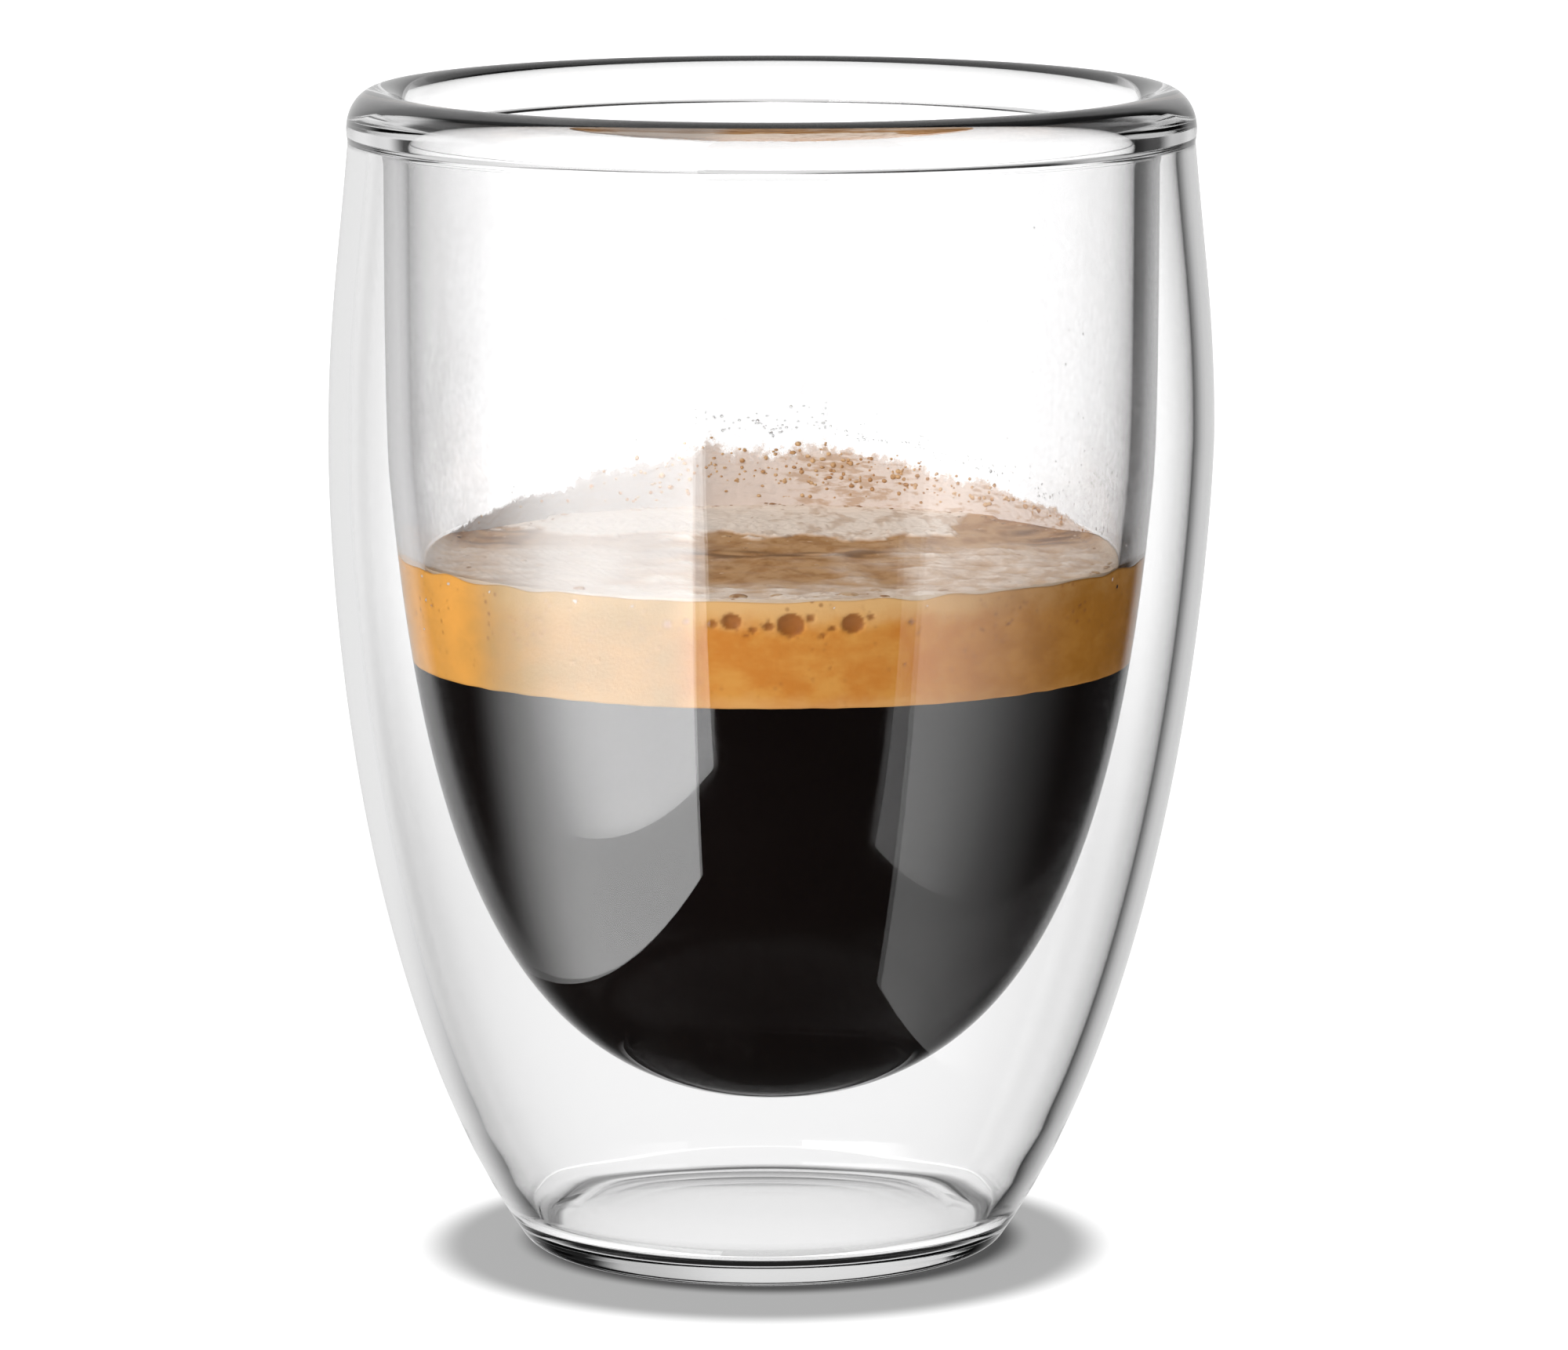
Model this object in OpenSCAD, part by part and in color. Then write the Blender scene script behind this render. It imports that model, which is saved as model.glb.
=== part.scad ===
// Double espresso in its double-walled tumbler.
// Millimetres. The origin is the middle of the foot ring, on the table, and +Z points up.
// Every solid is a turned shape, so each outline is drawn as [radius, height] points.

/* [Tumbler] */
// Height of the tumbler, from the table to the crest of the rim
glass_h = 90; // [75:0.5:110]
// Diameter at the belly, where the tumbler is widest
belly_d = 68.3; // [57:0.1:82]
// Height of the belly above the table
belly_h = 63.4; // [58:0.1:67]
// Diameter of the outer wall just under the rim
rim_d = 65; // [56:0.1:70]
// Diameter at the foot, measured where its wall would meet the table if it weren't rounded
foot_d = 36.6; // [30:0.1:44]
// How far the wall above the foot spreads out on its way up
foot_flare = 13.1; // [8:0.1:14]
// How far the foot's flare carries on upwards
foot_rise = 18.8; // [14:0.1:24]

/* [Walls] */
// Thickness of the outer wall
outer_wall = 1.6; // [1.2:0.05:2]
// Thickness of the inner cup's wall
inner_wall = 1.9; // [1.4:0.05:2.4]
// Thickness of the glass under the air gap
base_wall = 2; // [1.6:0.1:3]
// Width of the air gap just under the rim
mouth_gap = 1.15; // [0.8:0.05:2]
// Width of the air gap at the cup's shoulder
shoulder_gap = 3.08; // [2:0.05:5]

/* [Rim and foot] */
// Height of the solid rim, from the top of the straight wall to the crest
rim_h = 3.9; // [3:0.1:5]
// Radius of the foot's outer corner
foot_round = 2; // [1:0.1:3]
// Radius of the corner at the bottom of the air gap
gap_round = 3; // [2:0.1:5]
// Width of the flat ring that the tumbler stands on
ring_w = 1.5; // [1:0.1:3]
// How far the underside is pushed up in the middle
push_up = 1.1; // [0.5:0.1:2]

/* [Inner cup] */
// Height of the cup's underside above the table
cup_lift = 11.8; // [9:0.1:16]
// Height of the shoulder, where the round bowl turns into the straight wall
shoulder_h = 60.1; // [56:0.1:66]
// How far the cup's round bottom spreads before it turns up
bowl_spread = 21.6; // [16:0.1:23]
// How far the bowl's flank runs down from the shoulder
bowl_flank = 26.4; // [20:0.1:32]
// How far the flank leans in over that length
bowl_lean = 2.25; // [1:0.05:4]

/* [Drink] */
// Depth of the black coffee, from the bottom of the cup's inside
coffee_depth = 32.6; // [20:0.1:36]
// Thickness of the crema that floats on it
crema_t = 7.7; // [3:0.1:10]
// How far the crema climbs the glass at its edge
climb_h = 0.7; // [0.2:0.05:1.2]
// Width of that climbing edge
climb_w = 1.8; // [0.8:0.1:3]

/* [Hidden] */
$fn = 180;

// Points along a long curve and along a corner
CURVE_STEPS = 26;
CORNER_STEPS = 8;
// The rim's section starts and ends this many degrees below its widest point
RIM_TUCK = 17;
// Shares of a stretch of wall that its curve's two handles take up
BELLY_EASE = 0.5;
RIM_EASE = 0.38;
RIM_LEAN = 0.45;
SHOULDER_EASE = 0.15;
MOUTH_EASE = 0.4;
// The drink's cutting shapes reach this far past what they cut
PAST = 1;

belly_r = belly_d / 2;
rim_r = rim_d / 2;
foot_r = foot_d / 2;
rim_z = glass_h - rim_h;
shoulder_r = belly_r - outer_wall - shoulder_gap;
cup_mouth_r = rim_r - outer_wall - mouth_gap;
mouth_r = cup_mouth_r - inner_wall;

// The foot's wall leaves the table at this angle
foot_angle = atan2(foot_rise, foot_flare);
// Distance from a corner to where its rounding touches either side, for a radius of 1
corner_reach = tan(foot_angle / 2);

cup_floor = cup_lift + inner_wall;
coffee_top = cup_floor + coffee_depth;
crema_top = coffee_top + crema_t;

// Point at t on the Bezier curve of four handles, moved d to the left of its travel
function bezier_point(p, t) =
    pow(1 - t, 3) * p[0] + 3 * pow(1 - t, 2) * t * p[1] + 3 * (1 - t) * t * t * p[2] + pow(t, 3) * p[3];
function bezier_slope(p, t) =
    pow(1 - t, 2) * (p[1] - p[0]) + 2 * (1 - t) * t * (p[2] - p[1]) + t * t * (p[3] - p[2]);
function to_left(v) = [-v[1], v[0]] / norm(v);
function bezier(p, d = 0, first = 0) =
    [for (i = [first : CURVE_STEPS]) let (t = i / CURVE_STEPS)
        bezier_point(p, t) + d * to_left(bezier_slope(p, t))];

// Arc of an ellipse with half-axes a and b
function arc(c, a, b, from, to, first = 0) =
    [for (i = [first : CORNER_STEPS]) let (w = from + (to - from) * i / CORNER_STEPS)
        [c[0] + a * cos(w), c[1] + b * sin(w)]];

// Half circle that caps the channel between points p and q, on the left of the way from q to p
function cap(p, q) =
    [for (i = [1 : CORNER_STEPS - 1]) let (w = 180 * i / CORNER_STEPS, u = (p - q) / 2)
        (p + q) / 2 + u * cos(w) + norm(u) * to_left(u) * sin(w)];

// Shallow dome of height h that falls to z at radius r, from the middle outwards
function dome(h, z, r) =
    [for (i = [0 : CORNER_STEPS]) let (s = i / CORNER_STEPS) [s * r, z + h * (1 - s * s)]];

// Corner of radius r between the level z and the foot's slanted wall, which meets it at x
function foot_corner(x, z, r) =
    arc([x - r * corner_reach, z + r], r, r, -90, -90 + foot_angle);

function reversed(p) = [for (i = [len(p) - 1 : -1 : 0]) p[i]];
function above(p, z) = [for (q = p) if (q[1] > z) q];
function last(p) = p[len(p) - 1];

// The outer wall's outside: foot to belly, then belly to rim
foot_start = last(foot_corner(foot_r, 0, foot_round));
lower_wall = [
    foot_start,
    [foot_r + foot_flare, foot_rise],
    [belly_r, belly_h - BELLY_EASE * (belly_h - foot_rise) / 2],
    [belly_r, belly_h]];
upper_wall = [
    [belly_r, belly_h],
    [belly_r, belly_h + RIM_EASE * (rim_z - belly_h)],
    [rim_r + RIM_LEAN * (belly_r - rim_r), rim_z - RIM_EASE * (rim_z - belly_h)],
    [rim_r, rim_z]];

// The inner cup's outside: bottom to shoulder, then shoulder to mouth
cup_bowl = [
    [0, cup_lift],
    [bowl_spread, cup_lift],
    [shoulder_r - bowl_lean, shoulder_h - bowl_flank],
    [shoulder_r, shoulder_h]];
cup_neck_h = rim_z - shoulder_h;
cup_neck = [
    [shoulder_r, shoulder_h],
    [shoulder_r + SHOULDER_EASE * cup_neck_h * bowl_lean / bowl_flank, shoulder_h + SHOULDER_EASE * cup_neck_h],
    [cup_mouth_r, rim_z - MOUTH_EASE * cup_neck_h],
    [cup_mouth_r, rim_z]];

// The cup's inside, from the middle of its floor to the mouth
cup_inside = concat(bezier(cup_bowl, inner_wall), bezier(cup_neck, inner_wall, 1));

// The rim's section is most of an ellipse, a little wider than the two walls together
rim_half_w = (rim_r - mouth_r) / 2 / cos(RIM_TUCK);
rim_half_h = rim_h / (1 + sin(RIM_TUCK));
rim_section = arc([(rim_r + mouth_r) / 2, glass_h - rim_half_h],
    rim_half_w, rim_half_h, -RIM_TUCK, 180 + RIM_TUCK, 1);

module glass_outline() {
    foot = foot_corner(foot_r, 0, foot_round);
    polygon(concat(
        dome(push_up, 0, foot[0][0] - ring_w),
        foot,
        bezier(lower_wall, 0, 1),
        bezier(upper_wall, 0, 1),
        rim_section,
        reversed([for (i = [0 : len(cup_inside) - 2]) cup_inside[i]])));
}

// The sealed air between the two walls
module gap_outline() {
    // Where the outer wall's inside would meet the gap's floor
    corner_x = foot_r - outer_wall / sin(foot_angle) + base_wall / tan(foot_angle);
    corner = foot_corner(corner_x, base_wall, gap_round);
    outside = concat(bezier(lower_wall, outer_wall), bezier(upper_wall, outer_wall, 1));
    inside = concat(bezier(cup_bowl), bezier(cup_neck, 0, 1));
    polygon(concat(
        dome(push_up, base_wall, corner[0][0]),
        [for (i = [1 : CORNER_STEPS]) corner[i]],
        above(outside, last(corner)[1]),
        cap(last(outside), last(inside)),
        reversed(inside)));
}

// The room inside the cup, closed at the top of the straight wall
module cup_room() {
    rotate_extrude() polygon(concat(cup_inside, [[0, rim_z]]));
}

module glass() {
    color([0.86, 0.9, 0.92, 0.4])
    difference() {
        rotate_extrude() glass_outline();
        rotate_extrude() gap_outline();
    }
}

module coffee() {
    color([0.07, 0.035, 0.02])
    intersection() {
        cup_room();
        cylinder(h = coffee_top, r = belly_r);
    }
}

// The crema's top is level, and curves up where it meets the glass
module crema_slab() {
    wall_r = lookup(crema_top, [for (p = cup_inside) [p[1], p[0]]]);
    rotate_extrude() polygon(concat(
        [[0, coffee_top], [belly_r, coffee_top], [belly_r, crema_top + climb_h]],
        reversed([for (i = [0 : CORNER_STEPS]) let (s = i / CORNER_STEPS)
            [wall_r - climb_w * (1 - s) + (s == 1 ? PAST : 0), crema_top + climb_h * s * s]]),
        [[0, crema_top]]));
}

module crema() {
    color([0.83, 0.58, 0.3])
    intersection() {
        cup_room();
        crema_slab();
    }
}

glass();
coffee();
crema();
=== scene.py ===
"""Looks of a double espresso in its double-walled tumbler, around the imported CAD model.

Every piece is turned about the upright axis or laid on a turned surface, so most meshes are
functions of an angle and of a place along an outline. Lengths are metres, and outlines are
arrays of [radius, height] rows.
"""

import logging
import math
from dataclasses import dataclass, field
from enum import Enum

import bpy
import numpy as np
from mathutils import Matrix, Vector


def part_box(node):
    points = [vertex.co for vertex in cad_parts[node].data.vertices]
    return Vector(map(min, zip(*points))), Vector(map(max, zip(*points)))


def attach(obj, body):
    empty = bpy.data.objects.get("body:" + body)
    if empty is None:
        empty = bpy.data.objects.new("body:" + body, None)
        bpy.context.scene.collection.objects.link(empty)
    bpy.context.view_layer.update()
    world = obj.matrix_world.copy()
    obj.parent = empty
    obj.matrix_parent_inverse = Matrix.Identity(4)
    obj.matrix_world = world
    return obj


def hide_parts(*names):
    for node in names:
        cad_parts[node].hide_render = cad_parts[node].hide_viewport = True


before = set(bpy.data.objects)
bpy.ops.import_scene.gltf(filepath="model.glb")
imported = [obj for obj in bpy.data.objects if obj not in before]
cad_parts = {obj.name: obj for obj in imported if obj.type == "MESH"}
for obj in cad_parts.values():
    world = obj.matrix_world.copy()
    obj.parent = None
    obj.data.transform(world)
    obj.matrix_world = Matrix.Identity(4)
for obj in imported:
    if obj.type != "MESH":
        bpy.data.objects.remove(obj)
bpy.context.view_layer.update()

MM = 0.001
ACROSS = (1.0, 0.0, 0.0)
BACKWARD = (0.0, 1.0, 0.0)
UPWARD = (0.0, 0.0, 1.0)
DRINK_R = 27 * MM

log = logging.getLogger("espresso")


# ---------------------------------------------------------------------------
# Shader maths
# ---------------------------------------------------------------------------

Colour = tuple[float, float, float, float]


def colour(red: float, green: float, blue: float) -> Colour:
    """A linear colour with full alpha."""
    return (red, green, blue, 1.0)


def grey(value: float) -> Colour:
    """A colour without hue."""
    return colour(value, value, value)


class Socket:
    """An output socket of a shader tree, on which arithmetic adds Math nodes."""

    def __init__(self, recipe: "Recipe", socket: bpy.types.NodeSocket) -> None:
        """Keeps the socket and the recipe that it belongs to."""
        self.recipe = recipe
        self.socket = socket

    def maths(self, operation: str, *values: "Socket | float") -> "Socket":
        """Adds one Math node.

        Args:
            operation: The node's operation.
            values: Its inputs, in order.

        Returns:
            The node's result.
        """
        return self.recipe.add("ShaderNodeMath", {"operation": operation}, dict(enumerate(values)))

    def __add__(self, other: "Socket | float") -> "Socket":
        """Sum."""
        return self.maths("ADD", self, other)

    def __radd__(self, other: float) -> "Socket":
        """Sum with a number on the left."""
        return self.maths("ADD", other, self)

    def __sub__(self, other: "Socket | float") -> "Socket":
        """Difference."""
        return self.maths("SUBTRACT", self, other)

    def __rsub__(self, other: float) -> "Socket":
        """Difference from a number on the left."""
        return self.maths("SUBTRACT", other, self)

    def __mul__(self, other: "Socket | float") -> "Socket":
        """Product."""
        return self.maths("MULTIPLY", self, other)

    def between(self, low: float, high: float) -> "Socket":
        """Ramp that is 0 at low, 1 at high and eased between them; low may be above high."""
        settings = {"interpolation_type": "SMOOTHSTEP"}
        if low < high:
            return self.recipe.add("ShaderNodeMapRange", settings, {0: self, 1: low, 2: high})
        return self.recipe.add(
            "ShaderNodeMapRange", settings, {0: self, 1: high, 2: low, 3: 1.0, 4: 0.0}
        )

    def at_most(self, other: "Socket | float") -> "Socket":
        """The smaller of two values."""
        return self.maths("MINIMUM", self, other)

    def at_least(self, other: "Socket | float") -> "Socket":
        """The larger of two values."""
        return self.maths("MAXIMUM", self, other)


class Recipe:
    """A node tree that a finish is written into."""

    def __init__(self, tree: bpy.types.NodeTree) -> None:
        """Empties the tree."""
        self.tree = tree
        tree.nodes.clear()

    def add(
        self,
        kind: str,
        settings: dict[str, object] | None = None,
        inputs: dict[int | str, object] | None = None,
        out: int | str = 0,
    ) -> Socket:
        """Adds any node.

        Args:
            kind: The node's type.
            settings: The node's own properties, set before its sockets.
            inputs: A value or a Socket for each input, by name or place.
            out: Which output to return.

        Returns:
            The chosen output.
        """
        node = self.tree.nodes.new(kind)
        for name, value in (settings or {}).items():
            setattr(node, name, value)
        for key, value in (inputs or {}).items():
            if isinstance(value, Socket):
                self.tree.links.new(value.socket, node.inputs[key])
            else:
                node.inputs[key].default_value = value
        return Socket(self, node.outputs[out] if node.outputs else None)

    def mixed(self, share: "Socket | float", first: object, second: object) -> Socket:
        """Mixes two colours, first where share is 0 and second where it is 1."""
        inputs = {0: share, 6: first, 7: second}
        return self.add("ShaderNodeMix", {"data_type": "RGBA"}, inputs, out=2)

    def place(self) -> Socket:
        """Object coordinates, in metres."""
        return self.add("ShaderNodeTexCoord", out="Object")

    def ray(self, question: str) -> Socket:
        """What the Light Path node says of the ray that is being followed."""
        return self.add("ShaderNodeLightPath", out=question)

    def vectors(self, operation: str, *values: object, out: str = "Vector") -> Socket:
        """Adds one Vector Math node.

        Args:
            operation: The node's operation.
            values: Its inputs, in order.
            out: "Vector" or "Value", whichever the operation gives.

        Returns:
            The node's result.
        """
        inputs = dict(enumerate(values))
        return self.add("ShaderNodeVectorMath", {"operation": operation}, inputs, out)

    def scaled(self, vector: Socket, factors: tuple[float, float, float]) -> Socket:
        """A vector with each part multiplied."""
        return self.vectors("MULTIPLY", vector, factors)

    def along(self, vector: Socket, direction: tuple[float, float, float]) -> Socket:
        """How far a vector reaches in a direction."""
        return self.vectors("DOT_PRODUCT", vector, direction, out="Value")

    def length(self, vector: Socket) -> Socket:
        """How long a vector is."""
        return self.vectors("LENGTH", vector, out="Value")

    def cloud(self, vector: Socket, size: float, detail: float = 2.0, rough: float = 0.5) -> Socket:
        """Soft noise between 0 and 1, in blots of about one size."""
        inputs = {"Vector": vector, "Scale": 1 / size, "Detail": detail, "Roughness": rough}
        return self.add("ShaderNodeTexNoise", None, inputs)

    def cells(self, vector: Socket, size: float) -> Socket:
        """Distance to the nearest of scattered points, over their usual spacing."""
        inputs = {"Vector": vector, "Scale": 1 / size}
        return self.add("ShaderNodeTexVoronoi", None, inputs, out="Distance")

    def carried(self, name: str) -> Socket:
        """A number that the mesh carries at each point."""
        return self.add("ShaderNodeAttribute", {"attribute_name": name}, out="Fac")

    def bumped(self, height: Socket, depth: float, strength: float) -> Socket:
        """A normal from a height that spans depth metres."""
        return self.add(
            "ShaderNodeBump", None, {"Strength": strength, "Distance": depth, "Height": height}
        )

    def principled(self, **inputs: object) -> Socket:
        """A Principled shader; a key's underscores stand for spaces."""
        named = {key.replace("_", " "): value for key, value in inputs.items()}
        return self.add("ShaderNodeBsdfPrincipled", None, named)

    def see_through(self, share: Socket, shader: Socket, tint: Colour) -> Socket:
        """A shader that is clear and tinted where share is 1."""
        clear = self.add("ShaderNodeBsdfTransparent", None, {"Color": tint})
        return self.add("ShaderNodeMixShader", None, {0: share, 1: shader, 2: clear})

    def light_through(self, shader: Socket, tint: Colour) -> Socket:
        """A shader that lamps and light for matt surfaces pass straight through, tinted."""
        share = self.ray("Is Shadow Ray").at_least(self.ray("Is Diffuse Ray"))
        return self.see_through(share, shader, tint)

    def shown(self, shader: Socket) -> None:
        """Ends the tree at its material output."""
        self.add("ShaderNodeOutputMaterial", None, {"Surface": shader})


# ---------------------------------------------------------------------------
# Finishes
# ---------------------------------------------------------------------------


@dataclass(frozen=True)
class Finish:
    """What every finish has: a name, a record slot and a material that it writes once."""

    name: str
    record_slot: str

    def material(self) -> bpy.types.Material:
        """The finish's material, made on first use."""
        made = bpy.data.materials.get(self.name)
        if made is None:
            made = bpy.data.materials.new(self.name)
            made.use_nodes = True
            recipe = Recipe(made.node_tree)
            recipe.shown(self.write(recipe))
        return made

    def write(self, recipe: Recipe) -> Socket:
        """Writes the finish's nodes and returns its shader; each finish has its own."""
        raise NotImplementedError


@dataclass(frozen=True)
class ClearGlass(Finish):
    """Polished borosilicate. Lamps reach through it, a little dimmed at each surface."""

    tint: Colour = colour(0.994, 0.993, 0.994)
    lamp_tint: Colour = colour(0.954, 0.953, 0.953)
    ior: float = 1.47

    def write(self, recipe: Recipe) -> Socket:
        """Bends what is seen, and lets light for matt surfaces straight through."""
        glass = recipe.principled(
            Base_Color=self.tint, Roughness=0.0, IOR=self.ior, Transmission_Weight=1.0
        )
        return recipe.light_through(glass, self.lamp_tint)


@dataclass(frozen=True)
class BlackCoffee(Finish):
    """Coffee that wets the glass: almost black, with a gloss that mirrors the softboxes."""

    deep: Colour = colour(0.0012, 0.0004, 0.0003)
    lighter_brown: Colour = colour(0.0045, 0.0026, 0.0021)
    cloud_size: float = 9 * MM

    def write(self, recipe: Recipe) -> Socket:
        """Faint noise clouds of a lighter brown, and more of that brown towards the bottom of the
        cup.
        """
        place = recipe.place()
        low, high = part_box("coffee")
        depth = recipe.along(place, UPWARD).between(high.z, low.z)
        cloud = recipe.cloud(place, self.cloud_size, 3.0)
        share = ((cloud + depth) * 0.5).at_most(1.0)
        return recipe.principled(
            Base_Color=recipe.mixed(share, self.deep, self.lighter_brown),
            Roughness=recipe.cloud(place, self.cloud_size) * 0.06 + 0.03,
            Specular_IOR_Level=0.45,
        )


@dataclass(frozen=True)
class GoldenCrema(Finish):
    """The crema pressed against the glass: fine foam, amber below and paler at its top edge."""

    amber: Colour = colour(0.53, 0.19, 0.026)
    honey: Colour = colour(0.64, 0.31, 0.066)
    pale: Colour = colour(0.68, 0.42, 0.18)
    # Painted shade: a darker brown for the left, where the left softbox's reflection lies over the
    # crema.
    veil_shade: Colour = colour(0.35, 0.21, 0.055)
    # Painted light: a brighter brown for the far left edge, which gets less light.
    edge_glow: Colour = colour(0.78, 0.36, 0.07)
    # Painted shade: a darker brown for the right side, where less light falls.
    deep: Colour = colour(0.33, 0.13, 0.008)
    speck: Colour = colour(0.24, 0.09, 0.022)
    # Painted shade in the bubbles' hollows.
    hollow: Colour = colour(0.3, 0.09, 0.016)
    mottle_size: float = 4.2 * MM
    edge_wander: float = 1.6 * MM
    speck_size: float = 0.75 * MM
    patch_size: float = 2.6 * MM
    grain_size: float = 0.3 * MM
    grain_depth: float = 0.04 * MM

    def write(self, recipe: Recipe) -> Socket:
        """Mottling, pale edges and specks; painted shade darkens the browns on the left and right
        and the bubbles' hollows, and painted light brightens the far left.
        """
        place = recipe.place()
        low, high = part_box("crema")
        band = recipe.scaled(place, (1.0, 1.0, 1.6))
        mottle = recipe.cloud(band, self.mottle_size, 4.0, 0.62).between(0.34, 0.66)
        base = recipe.mixed(mottle * 0.75, self.amber, self.honey)
        wander = recipe.cloud(place, self.edge_wander) * self.edge_wander
        edge = recipe.along(place, UPWARD) + wander
        top = edge.between(high.z - 1.9 * MM, high.z + 0.3 * MM)
        base = recipe.mixed(top * 0.85, base, self.pale)
        foot = edge.between(low.z + 2.2 * MM, low.z + 0.6 * MM)
        base = recipe.mixed(foot * 0.35, base, self.pale)
        across = recipe.along(place, ACROSS)
        left, far_left = across.between(-4 * MM, -8 * MM), across.between(-19.2 * MM, -22.8 * MM)
        right = across.between(8 * MM, 21 * MM)
        broken = 0.95 - mottle * 0.25
        # Painted shade on the left, under the left softbox's reflection.
        base = recipe.mixed(left * broken, base, self.veil_shade)
        # Painted light at the far left edge.
        base = recipe.mixed(far_left * (mottle * 0.2 + 0.72), base, self.edge_glow)
        # Painted shade on the right, where less light falls.
        base = recipe.mixed(right * broken, base, self.deep)
        specks = recipe.cells(place, self.speck_size).between(0.34, 0.1)
        patches = recipe.cloud(place, self.patch_size, 1.0).between(0.46, 0.62)
        high_up = edge.between(high.z - 5.5 * MM, high.z - 2.5 * MM) * 0.4 + 0.2
        base = recipe.mixed(specks * patches * high_up, base, self.speck)
        # Painted shade in the bubbles' hollows, which the mesh carries.
        base = recipe.mixed(recipe.carried("hollow"), base, self.hollow)
        grain = recipe.cloud(place, self.grain_size, 3.0)
        return recipe.principled(
            Base_Color=base,
            Roughness=0.75 - recipe.carried("hollow") * 0.5,
            Specular_IOR_Level=0.15,
            Normal=recipe.bumped(grain, self.grain_depth, 0.5),
        )


@dataclass(frozen=True)
class Froth(Finish):
    """The crema's top: brown streaks, darker ovals, and a pale head, with painted shade that greys
    it on the left, under the left softbox's reflection.
    """

    brown: Colour = colour(0.4, 0.2, 0.075)
    tan: Colour = colour(0.52, 0.3, 0.14)
    dark: Colour = colour(0.18, 0.08, 0.03)
    foam: Colour = colour(0.86, 0.73, 0.62)
    edge: Colour = colour(0.76, 0.6, 0.44)
    # Painted shade: a darker grey for the left, where the left softbox's reflection lies over the
    # top.
    reflection_grey: Colour = colour(0.42, 0.38, 0.35)
    streak_size: float = 1.3 * MM
    fine_size: float = 1.1 * MM
    pore_size: float = 0.55 * MM
    drift_size: float = 7 * MM
    drift_reach: float = 10 * MM
    bubble_size: float = 0.6 * MM
    bubble_depth: float = 0.03 * MM

    def write(self, recipe: Recipe) -> Socket:
        """The mesh carries how much head, how deep a brown and how much rim lies at each point."""
        place = recipe.place()
        flat = recipe.scaled(place, (1.0, 1.0, 0.2))
        level = recipe.scaled(place, (1.0, 0.45, 0.2))
        streak = recipe.cloud(level, self.streak_size, 2.5, 0.55)
        fine = recipe.cloud(flat, self.fine_size, 4.0, 0.65)
        base = recipe.mixed(streak.between(0.36, 0.62), self.brown, self.tan)
        deep = recipe.carried("brown") * 0.85 + (streak + fine).between(0.88, 0.7) * 0.3
        base = recipe.mixed(deep.at_most(1.0), base, self.dark)
        head = recipe.carried("head")
        pores = recipe.cells(flat, self.pore_size).between(0.3, 0.1) * fine.between(0.48, 0.6)
        foam = recipe.mixed(pores * 0.4, self.foam, self.tan)
        across = recipe.along(place, ACROSS)
        stain = streak.between(0.48, 0.66) * across.between(-7 * MM, 4 * MM) * 0.45
        foam = recipe.mixed(stain, foam, self.brown)
        base = recipe.mixed(head + (fine - 0.5) * 0.3 * head.between(0.0, 0.5), base, foam)
        base = recipe.mixed(recipe.carried("rim") * 0.8, base, self.edge)
        drift = across + (recipe.cloud(flat, self.drift_size) - 0.5) * self.drift_reach
        # Painted shade: the left is greyed under the left softbox's reflection.
        reflection_shade = drift.between(-3 * MM, -10 * MM) * across.between(-23 * MM, -17 * MM) * 0.62
        base = recipe.mixed(reflection_shade, base, self.reflection_grey)
        bubbles = recipe.cells(flat, self.bubble_size).between(0.6, 0.0)
        small = recipe.cells(flat, self.bubble_size / 2).between(0.6, 0.0)
        return recipe.principled(
            Base_Color=base,
            Roughness=0.8 - fine * 0.3,
            Specular_IOR_Level=0.06,
            Normal=recipe.bumped(bubbles * 0.6 + small * 0.4, self.bubble_depth, 0.3),
        )


@dataclass(frozen=True)
class Lacing(Finish):
    """The thin film of foam that clings to the far wall, torn into dots along its top edge."""

    film: Colour = colour(0.86, 0.74, 0.66)
    # Painted shade: the film's darker, greyer colour for the left, where the left softbox's
    # reflection lies over it.
    reflection_grey: Colour = colour(0.62, 0.57, 0.54)
    stain: Colour = colour(0.5, 0.27, 0.1)
    streak_size: float = 1.0 * MM
    blot_size: float = 0.55 * MM
    patch_size: float = 5.0 * MM
    most: float = 0.84

    def write(self, recipe: Recipe) -> Socket:
        """Level streaks of brown on one side; the mesh carries how far up the film a point is."""
        place = recipe.place()
        level = recipe.scaled(place, (0.6, 0.6, 2.2))
        streak = recipe.cloud(level, self.streak_size, 3.0, 0.6)
        blot = recipe.cloud(place, self.blot_size, 3.0, 0.6)
        patch = recipe.cloud(place, self.patch_size)
        up = recipe.carried("up")
        across = recipe.along(place, ACROSS)
        side = across.between(-7 * MM, 4 * MM) * 0.5 + 0.1
        stain = (streak + patch * 0.5).between(0.74, 0.9) * side
        # Painted shade on the left, under the left softbox's reflection.
        film = recipe.mixed(across.between(-4 * MM, -8 * MM), self.film, self.reflection_grey)
        whole = blot * 0.55 + patch * 0.35 + (1.0 - up) * 1.1
        return recipe.principled(
            Base_Color=recipe.mixed(stain, film, self.stain),
            Roughness=0.5,
            Specular_IOR_Level=0.1,
            Alpha=whole.between(0.62, 0.86) * self.most,
        )


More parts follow.
